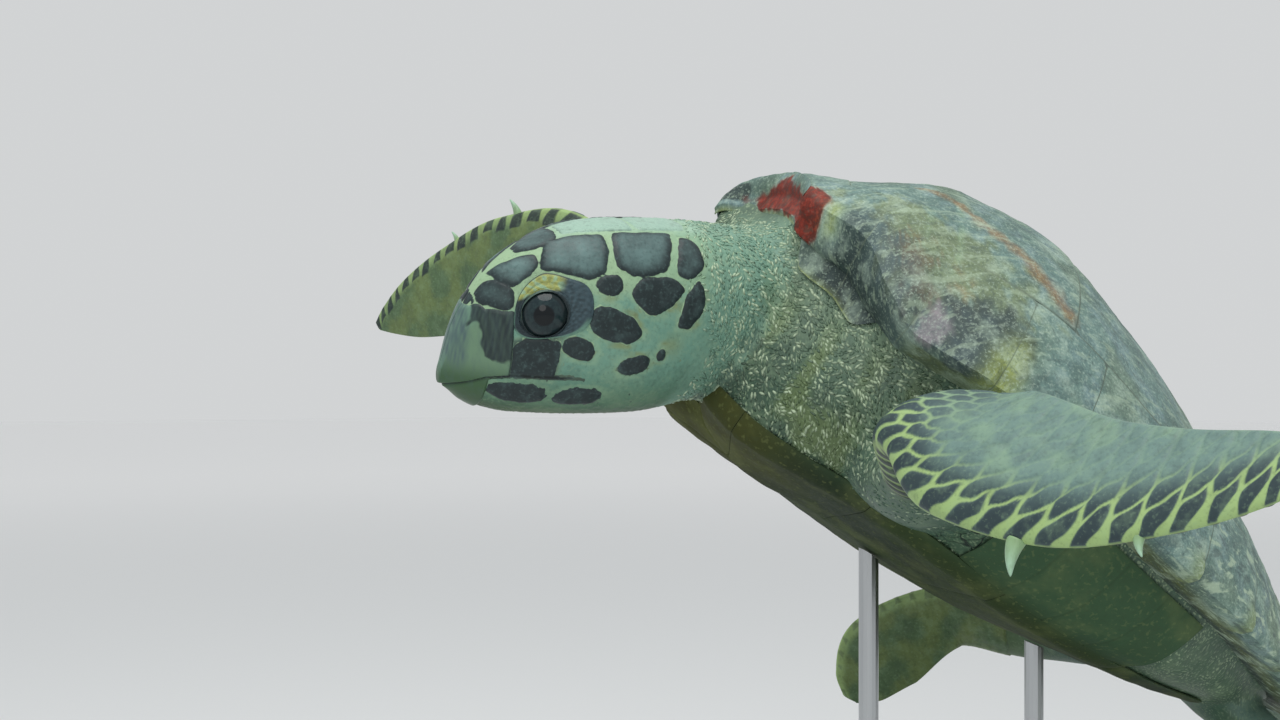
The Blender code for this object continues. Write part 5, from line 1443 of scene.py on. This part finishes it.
def build_rim(material):
    """Eleven plates a side, each growing to a point at its rear, wrapped round the rim."""
    per, plates = 16, 11
    # lines along the plates: up to 1 on the upper face, past 1 round the rim's edge and under it
    lines = np.concatenate((
        np.linspace(0.0, 0.80, 12),
        (0.86, 0.91, 0.95, 0.98, 1.0, 1.02, 1.045, 1.07, 1.10, 1.13, 1.16, 1.18, 1.19, 1.197, 1.2),
    ))
    for name, sign in SIDES:
        mesh, i, j, layer = grid(len(lines) - 1, per * plates, True)
        last = j == per * plates
        q = np.minimum(j / per * 2.0 / SEGMENTS, 22.0 / SEGMENTS) - 0.0002 / SCL * last
        share = (j % per) / per
        tooth = np.where(share < 0.93, share / 0.93, (1.0 - share) / 0.07)
        tooth = np.where(last, 1.0, np.clip(tooth, 0.0, 1.0))
        band = band_edge(q)
        line = lines[i]
        gap = 0.00025 / SCL / np.maximum(cross_length(q), 0.05)
        reach = lerp(LIP_LINE, FACE_LINE - 0.004, ease(0.0, 0.03, q) * ease(0.158, 0.112, q))
        a = np.where(line <= 1.0, lerp(band + gap, 1.0, line), lerp(1.0, reach, (line - 1.0) / 0.2))
        near_rim = np.exp(-((line - 1.0) / 0.10) ** 2)
        seam = np.minimum(j % per, per - j % per) / per * 2.0 / SEGMENTS * SCL * 2.4
        where = shell_point(q, sign * a)
        thick = 0.0026 + 0.0016 * tooth * near_rim - 0.0006 * (1.0 - ease(0.0, 0.005, seam))
        thick = thick - 0.0014 * (1.0 - ease(0.0, 0.06, 1.2 - line)) + brow(q, sign * a)
        thick = thick + 0.00035 * ripple(where, 0.018, 76) * ease(0.0, 0.1, line)
        out = TOOTH * SCL * tooth * lerp(0.25, 1.0, np.minimum(1.0, q * 1.15) ** 2) * near_rim
        points = shell_point(q, sign * a, two_faces(layer, thick, 0.0007), np.where(layer == 1, out, 0.0))
        tint = tip_marks(q, a, shell_tint(q, sign * a, where))
        # the olive under the rim, darkened as painted shade
        tint = mixed(tint, UNDER_OLIVE, 0.85 * ease(1.03, 1.09, a) * ease(0.22, 0.30, q))
        tint = mixed(tint, SHELL_DARK, 0.7 * (ease(0.44, 0.50, q) * ease(1.11, 1.15, a)))
        values = {"tint": tint, "edge": np.minimum(seam, line * 0.05) * 1000.0, "back": q, "rimward": a}
        closed_mesh(mesh, placed(points, BODY), values)
        add_piece(f"rim_plates_{name}", mesh, material, [f"marginals_{name}"])


def build_tail_plates(material):
    """The last two plates of the rim, over the tail."""
    across, along, half_gap = 26, 18, 0.0003
    for name, sign in SIDES:
        mesh, i, j, layer = grid(across, along, True)
        share = j / along
        q = (22 + 1.5 * share) / SEGMENTS
        a = np.interp(i / across, (0.0, 0.85, 1.0), (0.0, 1.0, LIP_LINE))
        a = a + (i == 0) * half_gap / SCL / np.maximum(cross_length(q), 0.02)
        q = q + half_gap / SCL * (j == 0)
        where = shell_point(q, sign * a)
        thinner = 1.0 - ease(0.0, 0.12, np.minimum(1 - share, i / across))
        lift = lerp(0.0026, 0.0036, share) - 0.0006 * thinner
        lift = np.where(layer == 1, lift + 0.0003 * ripple(where, 0.018, 77), 0.00075)
        out = np.where(layer == 1, TOOTH * SCL * share * 0.8 * np.exp(-((a - 1.0) / 0.12) ** 2), 0.0)
        points = shell_point(q, sign * a, lift, out)
        points[:, 1] += 0.014 * ease(0.75, 1.0, share)
        points[:, 0] = np.where(i == 0, sign * half_gap, points[:, 0])
        tint = tip_marks(q, a, shell_tint(q, sign * a, where))
        edge = np.minimum(np.minimum(share, 1 - share) * 40.0, i * 1.2)
        values = {"tint": tint, "edge": edge, "back": q, "rimward": a}
        closed_mesh(mesh, placed(points, BODY), values)
        add_piece(f"tail_plate_{name}", mesh, material, [f"supracaudal_{name}"])


def belly_tint(q, a, points):
    """Yellow-brown in front, olive green further back and up the sides, all darkened as painted shade of the
    underside.
    """
    wave, fine = ripple(points, 0.11, 82), ripple(points, 0.025, 84)
    tint = mixed(BELLY, BELLY_SHADE, ease(-0.2, 0.7, wave + 0.3 * fine))
    tint = mixed(tint, BELLY_SIDE, ease(1.52, 1.40, a) * 0.8)
    return mixed(tint, BELLY_FRONT, ease(0.26, 0.06, q + 0.03 * wave) * 0.85)


def build_belly(material):
    """The breastplate's six pairs of plates, each pair one piece."""
    seams = (("gular", 0.1, 2), ("humeral", 2, 6), ("pectoral", 6, 10), ("abdominal", 10, 14),
             ("femoral", 14, 18), ("anal", 18, 21))
    for name, first, last in seams:
        across, along = 64, max(12, round((last - first) * 7))
        mesh, i, j, layer = grid(across, along, True)
        q = lerp(first, last, j / along) / SEGMENTS + 0.0002 / SCL * end_step(j, along)
        turn = i / across * 2.0 - 1.0
        side = np.where(turn == 0, 2.0, np.sign(-turn) * (2.0 - 0.530 * np.abs(turn)))
        edge_end = np.minimum(j, along - j) / along * (last - first) / SEGMENTS * SCL
        edge_side = (1.0 - np.abs(turn)) * 0.12
        edge = np.minimum(edge_end, edge_side)
        where = shell_point(q, side)
        top = 0.0036 - 0.0008 * (1.0 - ease(0.0, 0.004, edge_end))
        top = top - 0.0020 * (1.0 - ease(0.0, 0.020, edge_side))
        top = top - 0.0006 * (1.0 - ease(0.0, 0.03, np.abs(turn))) + 0.0004 * ripple(where, 0.03, 81)
        top = top - 0.0022 * ease(0.035, 0.004, q)
        points = shell_point(q, side, two_faces(layer, top, 0.0006, 0.0011))
        values = {"tint": belly_tint(q, np.abs(side), where), "edge": edge * 1000.0}
        closed_mesh(mesh, placed(points, BODY), values)
        add_piece(f"breast_{name}", mesh, material, [f"plastron_{name}"])


def build_bridges(material):
    """The plates that join the breastplate to the rim, four on a side in one piece."""
    across, along, plates, length = 36, 56, 4, 0.155
    for name, sign in SIDES:
        mesh, i, j, layer = grid(across, along, True)
        q = (8.4 + 5.6 * j / along) / SEGMENTS
        side = sign * lerp(1.215, 1.4685, i / across)
        where = shell_point(q, side)
        ends = np.minimum((i / across) * 0.06, np.minimum(j / along, 1 - j / along) * 0.15)
        top = 0.0011 + 0.0009 * ease(0.0, 0.020, ends)
        top = top + 0.0002 * ripple(where, 0.03, 83) * ease(0, 0.01, ends)
        seam = np.abs(np.mod(j / along * plates + 0.5, 1.0) - 0.5) / plates * length
        top = top - 0.0005 * (1.0 - ease(0.0, 0.002, seam))
        points = shell_point(q, side, two_faces(layer, top, 0.0005, 0.0009))
        values = {"tint": belly_tint(q, np.abs(side), where), "edge": np.minimum(ends, seam) * 1000.0}
        closed_mesh(mesh, placed(points, BODY), values)
        add_piece(f"bridge_plate_{name}", mesh, material, [f"bridge_{name}"])


# ---------------- claws
# limb, name, place along the limb's leading edge, length in metres
CLAWS = ((FRONT_LEFT, "claw_left_1", 0.58, 0.020), (FRONT_LEFT, "claw_left_2", 0.72, 0.011),
         (FRONT_RIGHT, "claw_right_1", 0.52, 0.014), (FRONT_RIGHT, "claw_right_2", 0.68, 0.009),
         (HIND_LEFT, "hind_claw_left", 0.70, 0.012), (HIND_RIGHT, "hind_claw_right", 0.70, 0.012))


def build_claws(material):
    """Curved pointed nails on the limbs' leading edges."""
    for limb, name, u, length in CLAWS:
        run, lead, out = limb.frame(np.array([u]))
        root = limb.point(np.array([u]), np.array([0.0]), 0.0)
        sides, steps = 20, 18
        mesh, i, j, _ = grid(sides, steps)
        angle, share = turned(i, sides), j / steps
        radius = 0.22 * length * np.maximum(1.0 - share, 0.0) ** 0.7 + 0.0002
        bend = 0.35 * length * share**2
        middle = root + lead * (length * share - 0.0012)[:, None] + run * bend[:, None]
        ring = run * (np.cos(angle) * 1.25)[:, None] + out * np.sin(angle)[:, None]
        points = middle + ring * radius[:, None]
        mesh = closed_mesh(mesh, placed(points, BODY), {"share": share})
        add_piece(f"nail_{name}", mesh, material, [name], sharp=0)


# ---------------- shader building
class Tree:
    """Short calls for adding and joining shader nodes."""

    def __init__(self, tree):
        self.tree = tree

    def add(self, kind, inputs=None, **settings):
        node = self.tree.nodes.new(kind)
        for key, value in settings.items():
            setattr(node, key, value)
        for key, value in (inputs or {}).items():
            self.feed(node.inputs[key], value)
        return node

    def feed(self, socket, value):
        if isinstance(value, bpy.types.NodeSocket):
            self.tree.links.new(value, socket)
        elif hasattr(socket.default_value, "__len__") and len(socket.default_value) == 4:
            socket.default_value = (*value, 1.0)
        else:
            socket.default_value = value

    def value(self, name):
        return self.add("ShaderNodeAttribute", attribute_name=name).outputs["Fac"]

    def tint(self):
        return self.add("ShaderNodeAttribute", attribute_name="tint").outputs["Color"]

    def place(self, scale=(1, 1, 1), rotation=(0, 0, 0)):
        where = self.add("ShaderNodeTexCoord").outputs["Object"]
        return self.mapped(where, scale, rotation)

    def mapped(self, where, scale, rotation):
        inputs = {"Vector": where, "Scale": scale, "Rotation": rotation}
        return self.add("ShaderNodeMapping", inputs).outputs[0]

    def ramp(self, value, low, high, to_low=0.0, to_high=1.0):
        names = ("Value", "From Min", "From Max", "To Min", "To Max")
        node = self.add("ShaderNodeMapRange", dict(zip(names, (value, low, high, to_low, to_high))))
        node.interpolation_type = "SMOOTHSTEP"
        return node.outputs["Result"]

    def blend(self, share, a, b):
        return self.add("ShaderNodeMix", {0: share, 6: a, 7: b}, data_type="RGBA").outputs[2]

    def sum(self, kind, a, b):
        return self.add("ShaderNodeMath", {0: a, 1: b}, operation=kind).outputs[0]

    def times(self, a, b):
        return self.sum("MULTIPLY", a, b)

    def plus(self, a, b):
        return self.sum("ADD", a, b)

    def noise(self, vector, scale, detail=3.0, rough=0.55):
        inputs = {"Vector": vector, "Scale": scale, "Detail": detail, "Roughness": rough}
        return self.add("ShaderNodeTexNoise", inputs).outputs["Fac"]

    def cells(self, vector, scale, feature="F1"):
        inputs = {"Vector": vector, "Scale": scale}
        return self.add("ShaderNodeTexVoronoi", inputs, feature=feature).outputs["Distance"]

    def bump(self, height, strength, distance, below=None):
        node = self.add("ShaderNodeBump", {"Height": height, "Strength": strength, "Distance": distance})
        if below is not None:
            self.feed(node.inputs["Normal"], below)
        return node.outputs["Normal"]

    def finish(self, colour, roughness=None, normal=None):
        """Feeds the shader what changes over the surface, and gives back the material."""
        for key, value in (("Base Color", colour), ("Roughness", roughness), ("Normal", normal)):
            if value is not None:
                self.feed(self.shader.inputs[key], value)
        return self.material


def start_material(name, roughness, metallic=0.0, specular=0.28):
    """The tree of a new material, with the values that are the same all over it set on its shader."""
    material = bpy.data.materials.new(name)
    material.use_nodes = True
    tree = Tree(material.node_tree)
    tree.material, tree.shader = material, material.node_tree.nodes["Principled BSDF"]
    tree.shader.inputs["Roughness"].default_value = roughness
    tree.shader.inputs["Metallic"].default_value = metallic
    tree.shader.inputs["Specular IOR Level"].default_value = specular
    return tree


def make_group(name, ins, outs):
    """A node group with these sockets, its tree, and the sockets inside it."""
    group = bpy.data.node_groups.new(name, "ShaderNodeTree")
    for label, kind, value in ins:
        socket = group.interface.new_socket(name=label, in_out="INPUT", socket_type=kind)
        if value is not None:
            socket.default_value = value
    for label, kind in outs:
        group.interface.new_socket(name=label, in_out="OUTPUT", socket_type=kind)
    tree = Tree(group)
    return group, tree, tree.add("NodeGroupInput").outputs, tree.add("NodeGroupOutput").inputs


FLOAT, COLOUR, VECTOR = "NodeSocketFloat", "NodeSocketColor", "NodeSocketVector"


def mottle_group():
    """Cloudy light and dark patches with fine specks over a colour."""
    ins = (
        ("Vector", VECTOR, None), ("Colour", COLOUR, None), ("Light", COLOUR, None), ("Dark", COLOUR, None),
        ("Patch Scale", FLOAT, 30.0), ("Speck Scale", FLOAT, 300.0), ("Strength", FLOAT, 0.5),
    )
    group, tree, given, result = make_group("mottle", ins, (("Colour", COLOUR), ("Height", FLOAT)))
    big = tree.noise(given["Vector"], given["Patch Scale"], 4.0, 0.6)
    small = tree.noise(given["Vector"], given["Speck Scale"], 2.0, 0.5)
    light = tree.times(tree.ramp(big, 0.48, 0.68), given["Strength"])
    dark = tree.times(tree.ramp(big, 0.52, 0.34), given["Strength"])
    colour = tree.blend(light, given["Colour"], given["Light"])
    colour = tree.blend(dark, colour, given["Dark"])
    speck = tree.times(tree.ramp(small, 0.56, 0.70), given["Strength"])
    colour = tree.blend(speck, colour, given["Light"])
    fleck = tree.times(tree.ramp(small, 0.46, 0.32), given["Strength"])
    tree.feed(result["Colour"], tree.blend(fleck, colour, given["Dark"]))
    height = tree.plus(tree.times(big, 0.5), tree.times(small, 0.5))
    tree.feed(result["Height"], height)
    return group


MOTTLE = mottle_group()


def mottle(tree, vector, light, dark, patch, speck, strength):
    """A material's tint with the mottle over it, and the height of its patches."""
    node = tree.add("ShaderNodeGroup")
    node.node_tree = MOTTLE
    names = ("Vector", "Colour", "Light", "Dark", "Patch Scale", "Speck Scale", "Strength")
    for key, value in zip(names, (vector, tree.tint(), light, dark, patch, speck, strength)):
        tree.feed(node.inputs[key], value)
    return node.outputs["Colour"], node.outputs["Height"]


def skin_material():
    """Leathery skin with fine pale flecks, and a net of dark wrinkles by the armpits."""
    tree = start_material("turtle_skin", 0.5)
    where = tree.place()
    colour, height = mottle(tree, where, shade(150, 172, 138), NECK_DARK * 0.5, 40.0, 420.0, 0.18)
    grain = tree.value("grain")
    waves = tree.add("ShaderNodeTexNoise", {"Vector": where, "Scale": 40.0}).outputs["Color"]
    warp = tree.blend(0.02, where, waves)
    wavy = tree.mapped(warp, (1.0, 1.0, 0.42), (0.6, 0.3, 0.0))
    fleck = tree.ramp(tree.cells(wavy, 460.0), 0.44, 0.20)
    patches = tree.ramp(tree.noise(where, 46.0, 3.0), 0.34, 0.62, 0.25, 1.0)
    fleck = tree.times(tree.times(fleck, patches), tree.times(grain, 0.55))
    colour = tree.blend(fleck, colour, shade(168, 188, 152))
    net = tree.ramp(tree.cells(warp, 95.0, "DISTANCE_TO_EDGE"), 0.060, 0.015)
    net = tree.times(net, tree.ramp(tree.noise(where, 30.0, 2.0), 0.36, 0.60))
    net = tree.times(net, tree.times(tree.value("crackle"), 0.85))
    colour = tree.blend(net, colour, SLATE * 0.4)
    pores = tree.times(tree.cells(wavy, 460.0), tree.plus(grain, 0.10))
    normal = tree.bump(pores, 0.45, 0.0007)
    normal = tree.bump(net, -0.5, 0.0008, normal)
    normal = tree.bump(height, 0.2, 0.0006, normal)
    return tree.finish(colour, tree.ramp(height, 0.3, 0.7, 0.42, 0.60), normal)


def scute_material():
    """Head scales: satin slate with clouds and fine pits."""
    tree = start_material("head_scute", 0.42)
    where = tree.place()
    colour, height = mottle(tree, where, SLATE_PALE, SLATE * 0.5, 120.0, 480.0, 0.16)
    rim = tree.times(tree.ramp(tree.value("inside"), 0.45, -0.15), tree.value("paling"))
    colour = tree.blend(rim, colour, PALE_SEAM)
    return tree.finish(colour, tree.ramp(height, 0.3, 0.7, 0.36, 0.5), tree.bump(height, 0.3, 0.0005))


def horn_material():
    """The beak's horn, with fine grain down its length."""
    tree = start_material("beak_horn", 0.38)
    grain = tree.noise(tree.place((1.0, 1.0, 0.22), (0.3, 0.0, 0.0)), 260.0, 3.0)
    colour = tree.blend(tree.ramp(grain, 0.38, 0.72, 0.0, 0.22), tree.tint(), HORN_GREY)
    return tree.finish(colour, tree.ramp(grain, 0.3, 0.7, 0.3, 0.45), tree.bump(grain, 0.25, 0.0004))


def flipper_material():
    """Satin limb scales, a little cloudy."""
    tree = start_material("flipper_scale", 0.45)
    where = tree.place()
    colour, height = mottle(tree, where, FLIPPER_PALE, SLATE, 90.0, 460.0, 0.16)
    return tree.finish(colour, tree.ramp(height, 0.3, 0.7, 0.40, 0.58), tree.bump(height, 0.3, 0.0005))


def granule_material():
    """Dry little scales."""
    tree = start_material("neck_granule", 0.5)
    colour, height = mottle(tree, tree.place(), GRANULE_PALE, GRANULE_DARK, 60.0, 520.0, 0.14)
    return tree.finish(colour, tree.ramp(height, 0.3, 0.7, 0.46, 0.62), tree.bump(height, 0.2, 0.0003))


def shell_material():
    """Worn shell under a film of algae: cloudy zones, fine specks and streaks that run back."""
    tree = start_material("worn_shell", 0.55)
    where = tree.place((1, 1, 1), (PITCH, 0.0, 0.0))
    colour, height = mottle(tree, where, shade(176, 198, 180), shade(66, 84, 80), 42.0, 520.0, 0.36)
    grit = tree.noise(where, 240.0, 4.0, 0.7)
    calm = tree.ramp(tree.value("rimward"), 0.99, 1.07, 0.27, 0.08)
    light = tree.times(tree.ramp(grit, 0.52, 0.66), calm)
    colour = tree.blend(light, colour, shade(182, 200, 184))
    colour = tree.blend(tree.times(tree.ramp(grit, 0.46, 0.34), 0.34), colour, shade(64, 80, 76))
    along = tree.place((3.2, 0.32, 1.6), (PITCH, 0.0, 0.0))
    streak = tree.noise(along, 62.0, 4.0, 0.6)
    rear = tree.ramp(tree.value("back"), 0.30, 0.62)
    out = tree.times(tree.ramp(tree.value("rimward"), 0.70, 0.92), rear)
    pale = tree.plus(tree.times(out, 0.5), 0.30)
    pale = tree.times(tree.ramp(streak, 0.54, 0.64), pale)
    colour = tree.blend(pale, colour, shade(172, 192, 166))
    dim = tree.plus(tree.times(out, 0.35), 0.27)
    dim = tree.times(tree.ramp(streak, 0.46, 0.36), dim)
    colour = tree.blend(dim, colour, shade(66, 82, 82))
    seam = tree.ramp(tree.value("edge"), 1.6, 0.2)
    colour = tree.blend(tree.times(seam, 0.22), colour, shade(158, 172, 144))
    crack = tree.ramp(tree.value("edge"), 1.4, 0.2)
    crack = tree.times(crack, tree.ramp(tree.value("back"), 0.10, 0.35, 0.1, 0.68))
    colour = tree.blend(crack, colour, shade(58, 72, 66))
    own = tree.add("ShaderNodeSeparateColor", {"Color": tree.tint()})
    red = tree.ramp(tree.sum("SUBTRACT", own.outputs["Red"], own.outputs["Green"]), 0.04, 0.14, 0.0, 0.85)
    colour = tree.blend(red, colour, tree.blend(tree.ramp(grit, 0.40, 0.62), shade(84, 34, 26), tree.tint()))
    normal = tree.bump(height, 0.45, 0.0010)
    normal = tree.bump(grit, 0.3, 0.0008, normal)
    normal = tree.bump(streak, 0.2, 0.0008, normal)
    return tree.finish(colour, tree.ramp(grit, 0.3, 0.7, 0.5, 0.75), normal)


def belly_material():
    """The breastplate's dull horn, cloudy, with dark seams."""
    tree = start_material("breastplate", 0.7, specular=0.08)
    where = tree.place()
    colour, height = mottle(tree, where, shade(140, 150, 96), shade(58, 72, 50), 18.0, 260.0, 0.17)
    seam = tree.ramp(tree.value("edge"), 1.6, 0.2)
    colour = tree.blend(tree.times(seam, 0.18), colour, shade(46, 58, 40))
    return tree.finish(colour, tree.ramp(height, 0.3, 0.7, 0.62, 0.8), tree.bump(height, 0.3, 0.0008))


def eye_material():
    """A wet dark eye whose pupil hardly shows."""
    tree = start_material("wet_eye", 0.10, specular=0.2)
    tree.shader.inputs["Coat Weight"].default_value = 0.12
    tree.shader.inputs["Coat Roughness"].default_value = 0.05
    gaze = tree.value("gaze")
    rays = tree.noise(tree.place(), 420.0, 2.0)
    iris = tree.blend(tree.ramp(rays, 0.35, 0.65), shade(28, 42, 46), shade(38, 54, 56))
    colour = tree.blend(tree.ramp(gaze, 20.0, 25.0), shade(14, 20, 23), iris)
    colour = tree.blend(tree.ramp(gaze, 40.0, 48.0), colour, shade(26, 36, 38))
    return tree.finish(colour)


def lid_material():
    """Lids with very fine scales."""
    tree = start_material("eyelid", 0.42)
    where = tree.place()
    scales = tree.cells(where, 700.0)
    colour, height = mottle(tree, where, LID_BLUE, LID_DARK * 0.6, 150.0, 620.0, 0.16)
    return tree.finish(colour, tree.ramp(height, 0.3, 0.7, 0.34, 0.5), tree.bump(scales, 0.35, 0.0004))


def claw_material():
    """Pale horn with darker grain."""
    tree = start_material("pale_claw", 0.35)
    grain = tree.noise(tree.place((1, 1, 0.3)), 400.0, 3.0)
    colour = tree.blend(tree.ramp(tree.value("share"), 0.0, 1.0), shade(134, 164, 122), shade(154, 188, 164))
    colour = tree.blend(tree.ramp(grain, 0.4, 0.7, 0.0, 0.35), colour, shade(112, 134, 98))
    return tree.finish(colour, normal=tree.bump(grain, 0.2, 0.0004))


def board_material():
    """Satin painted board."""
    tree = start_material("satin_board", 0.45)
    fine = tree.noise(tree.place(), 900.0, 2.0)
    broad = tree.noise(tree.place(), 14.0, 3.0)
    colour = tree.blend(tree.ramp(broad, 0.3, 0.7, 0.0, 0.5), shade(44, 47, 50), shade(52, 55, 58))
    return tree.finish(colour, tree.ramp(broad, 0.3, 0.7, 0.36, 0.5), tree.bump(fine, 0.15, 0.0003))


def steel_material():
    """Satin steel."""
    tree = start_material("satin_steel", 0.34, 1.0, 0.5)
    brushed = tree.noise(tree.place((220.0, 220.0, 6.0)), 1.0, 2.0)
    colour = tree.blend(tree.ramp(brushed, 0.35, 0.65, 0.0, 0.5), shade(176, 179, 181), shade(188, 190, 192))
    return tree.finish(colour, tree.ramp(brushed, 0.35, 0.65, 0.28, 0.36), tree.bump(brushed, 0.05, 0.0001))


# ---------------- stage
def build_stage():
    """Floor, soft lights and camera."""
    scene = bpy.context.scene
    bm = bmesh.new()
    bmesh.ops.create_circle(bm, cap_ends=True, segments=96, radius=14.0)
    mesh = mesh_from(bm, "floor")
    floor = add_object("floor", mesh)
    tree = start_material("pale_floor", 0.7, specular=0.1)
    # painted light: the floor is paler further from the middle, where the lamps light it less, so that it
    # fades into the backdrop
    out = tree.add("ShaderNodeVectorMath", {0: tree.place()}, operation="LENGTH").outputs["Value"]
    far = tree.ramp(out, 1.5, 7.0)
    mesh.materials.append(tree.finish(tree.blend(far, (0.72, 0.735, 0.74), (0.98, 0.98, 0.98))))
    world = bpy.data.worlds.new("studio")
    world.use_nodes = True
    scene.world = world
    back = world.node_tree.nodes["Background"]
    back.inputs["Color"].default_value = (0.97, 0.99, 1.0, 1.0)
    back.inputs["Strength"].default_value = 0.66
    for name, at, aim, size, power in (
        ("over", (0.6, -0.6, 3.0), (0.0, 0.0, 0.4), 2.2, 48.0),
        ("side", (2.6, -2.0, 1.7), (0.0, -0.1, 0.45), 1.6, 14.0),
    ):
        lamp = bpy.data.lights.new(name, "AREA")
        lamp.shape, lamp.size, lamp.energy = "DISK", size, power
        lamp.color = (1.0, 0.99, 0.97)
        way = Vector(aim) - Vector(at)
        turn = way.to_track_quat("-Z", "Y").to_matrix().to_4x4()
        add_object(name, lamp).matrix_world = Matrix.Translation(at) @ turn
    scene.view_settings.view_transform = "Standard"
    lens = bpy.data.cameras.new("camera")
    lens.lens, lens.sensor_width = 47.29, 36.0
    camera = add_object("camera", lens)
    # level, before the turtle's left front quarter
    camera.matrix_world = Matrix((
        (0.396, 0.0, 0.918, 1.0821),
        (0.918, 0.0, -0.396, -0.7364),
        (0.0, 1.0, 0.0, 0.5274),
        (0.0, 0.0, 0.0, 1.0),
    ))
    scene.camera = camera


# ---------------- assembly
def main():
    build_stage()
    skin = build_skin(skin_material())
    build_head_scutes(scute_material())
    horn = horn_material()
    build_horn("beak_horn", UPPER, horn, ["beak_upper"])
    build_horn("jaw_horn", LOWER, horn, ["jaw_lower"])
    eye, lid = eye_material(), lid_material()
    for name, sign in SIDES:
        build_eye(sign, f"eye_{name}", eye)
        build_lids(sign, f"eyelids_{name}", lid)
    scale = flipper_material()
    for limb, name, up in LIMBS[:4]:
        build_limb_scales(limb, name, up, scale)
    build_granules(skin, granule_material())
    shell = shell_material()
    build_back(shell)
    build_rim(shell)
    build_tail_plates(shell)
    belly = belly_material()
    build_belly(belly)
    build_bridges(belly)
    build_claws(claw_material())
    board, steel = board_material(), steel_material()
    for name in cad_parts:
        if name.startswith("stand_"):
            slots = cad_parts[name].material_slots
            slots[0].material = board if name == "stand_base" else steel


main()
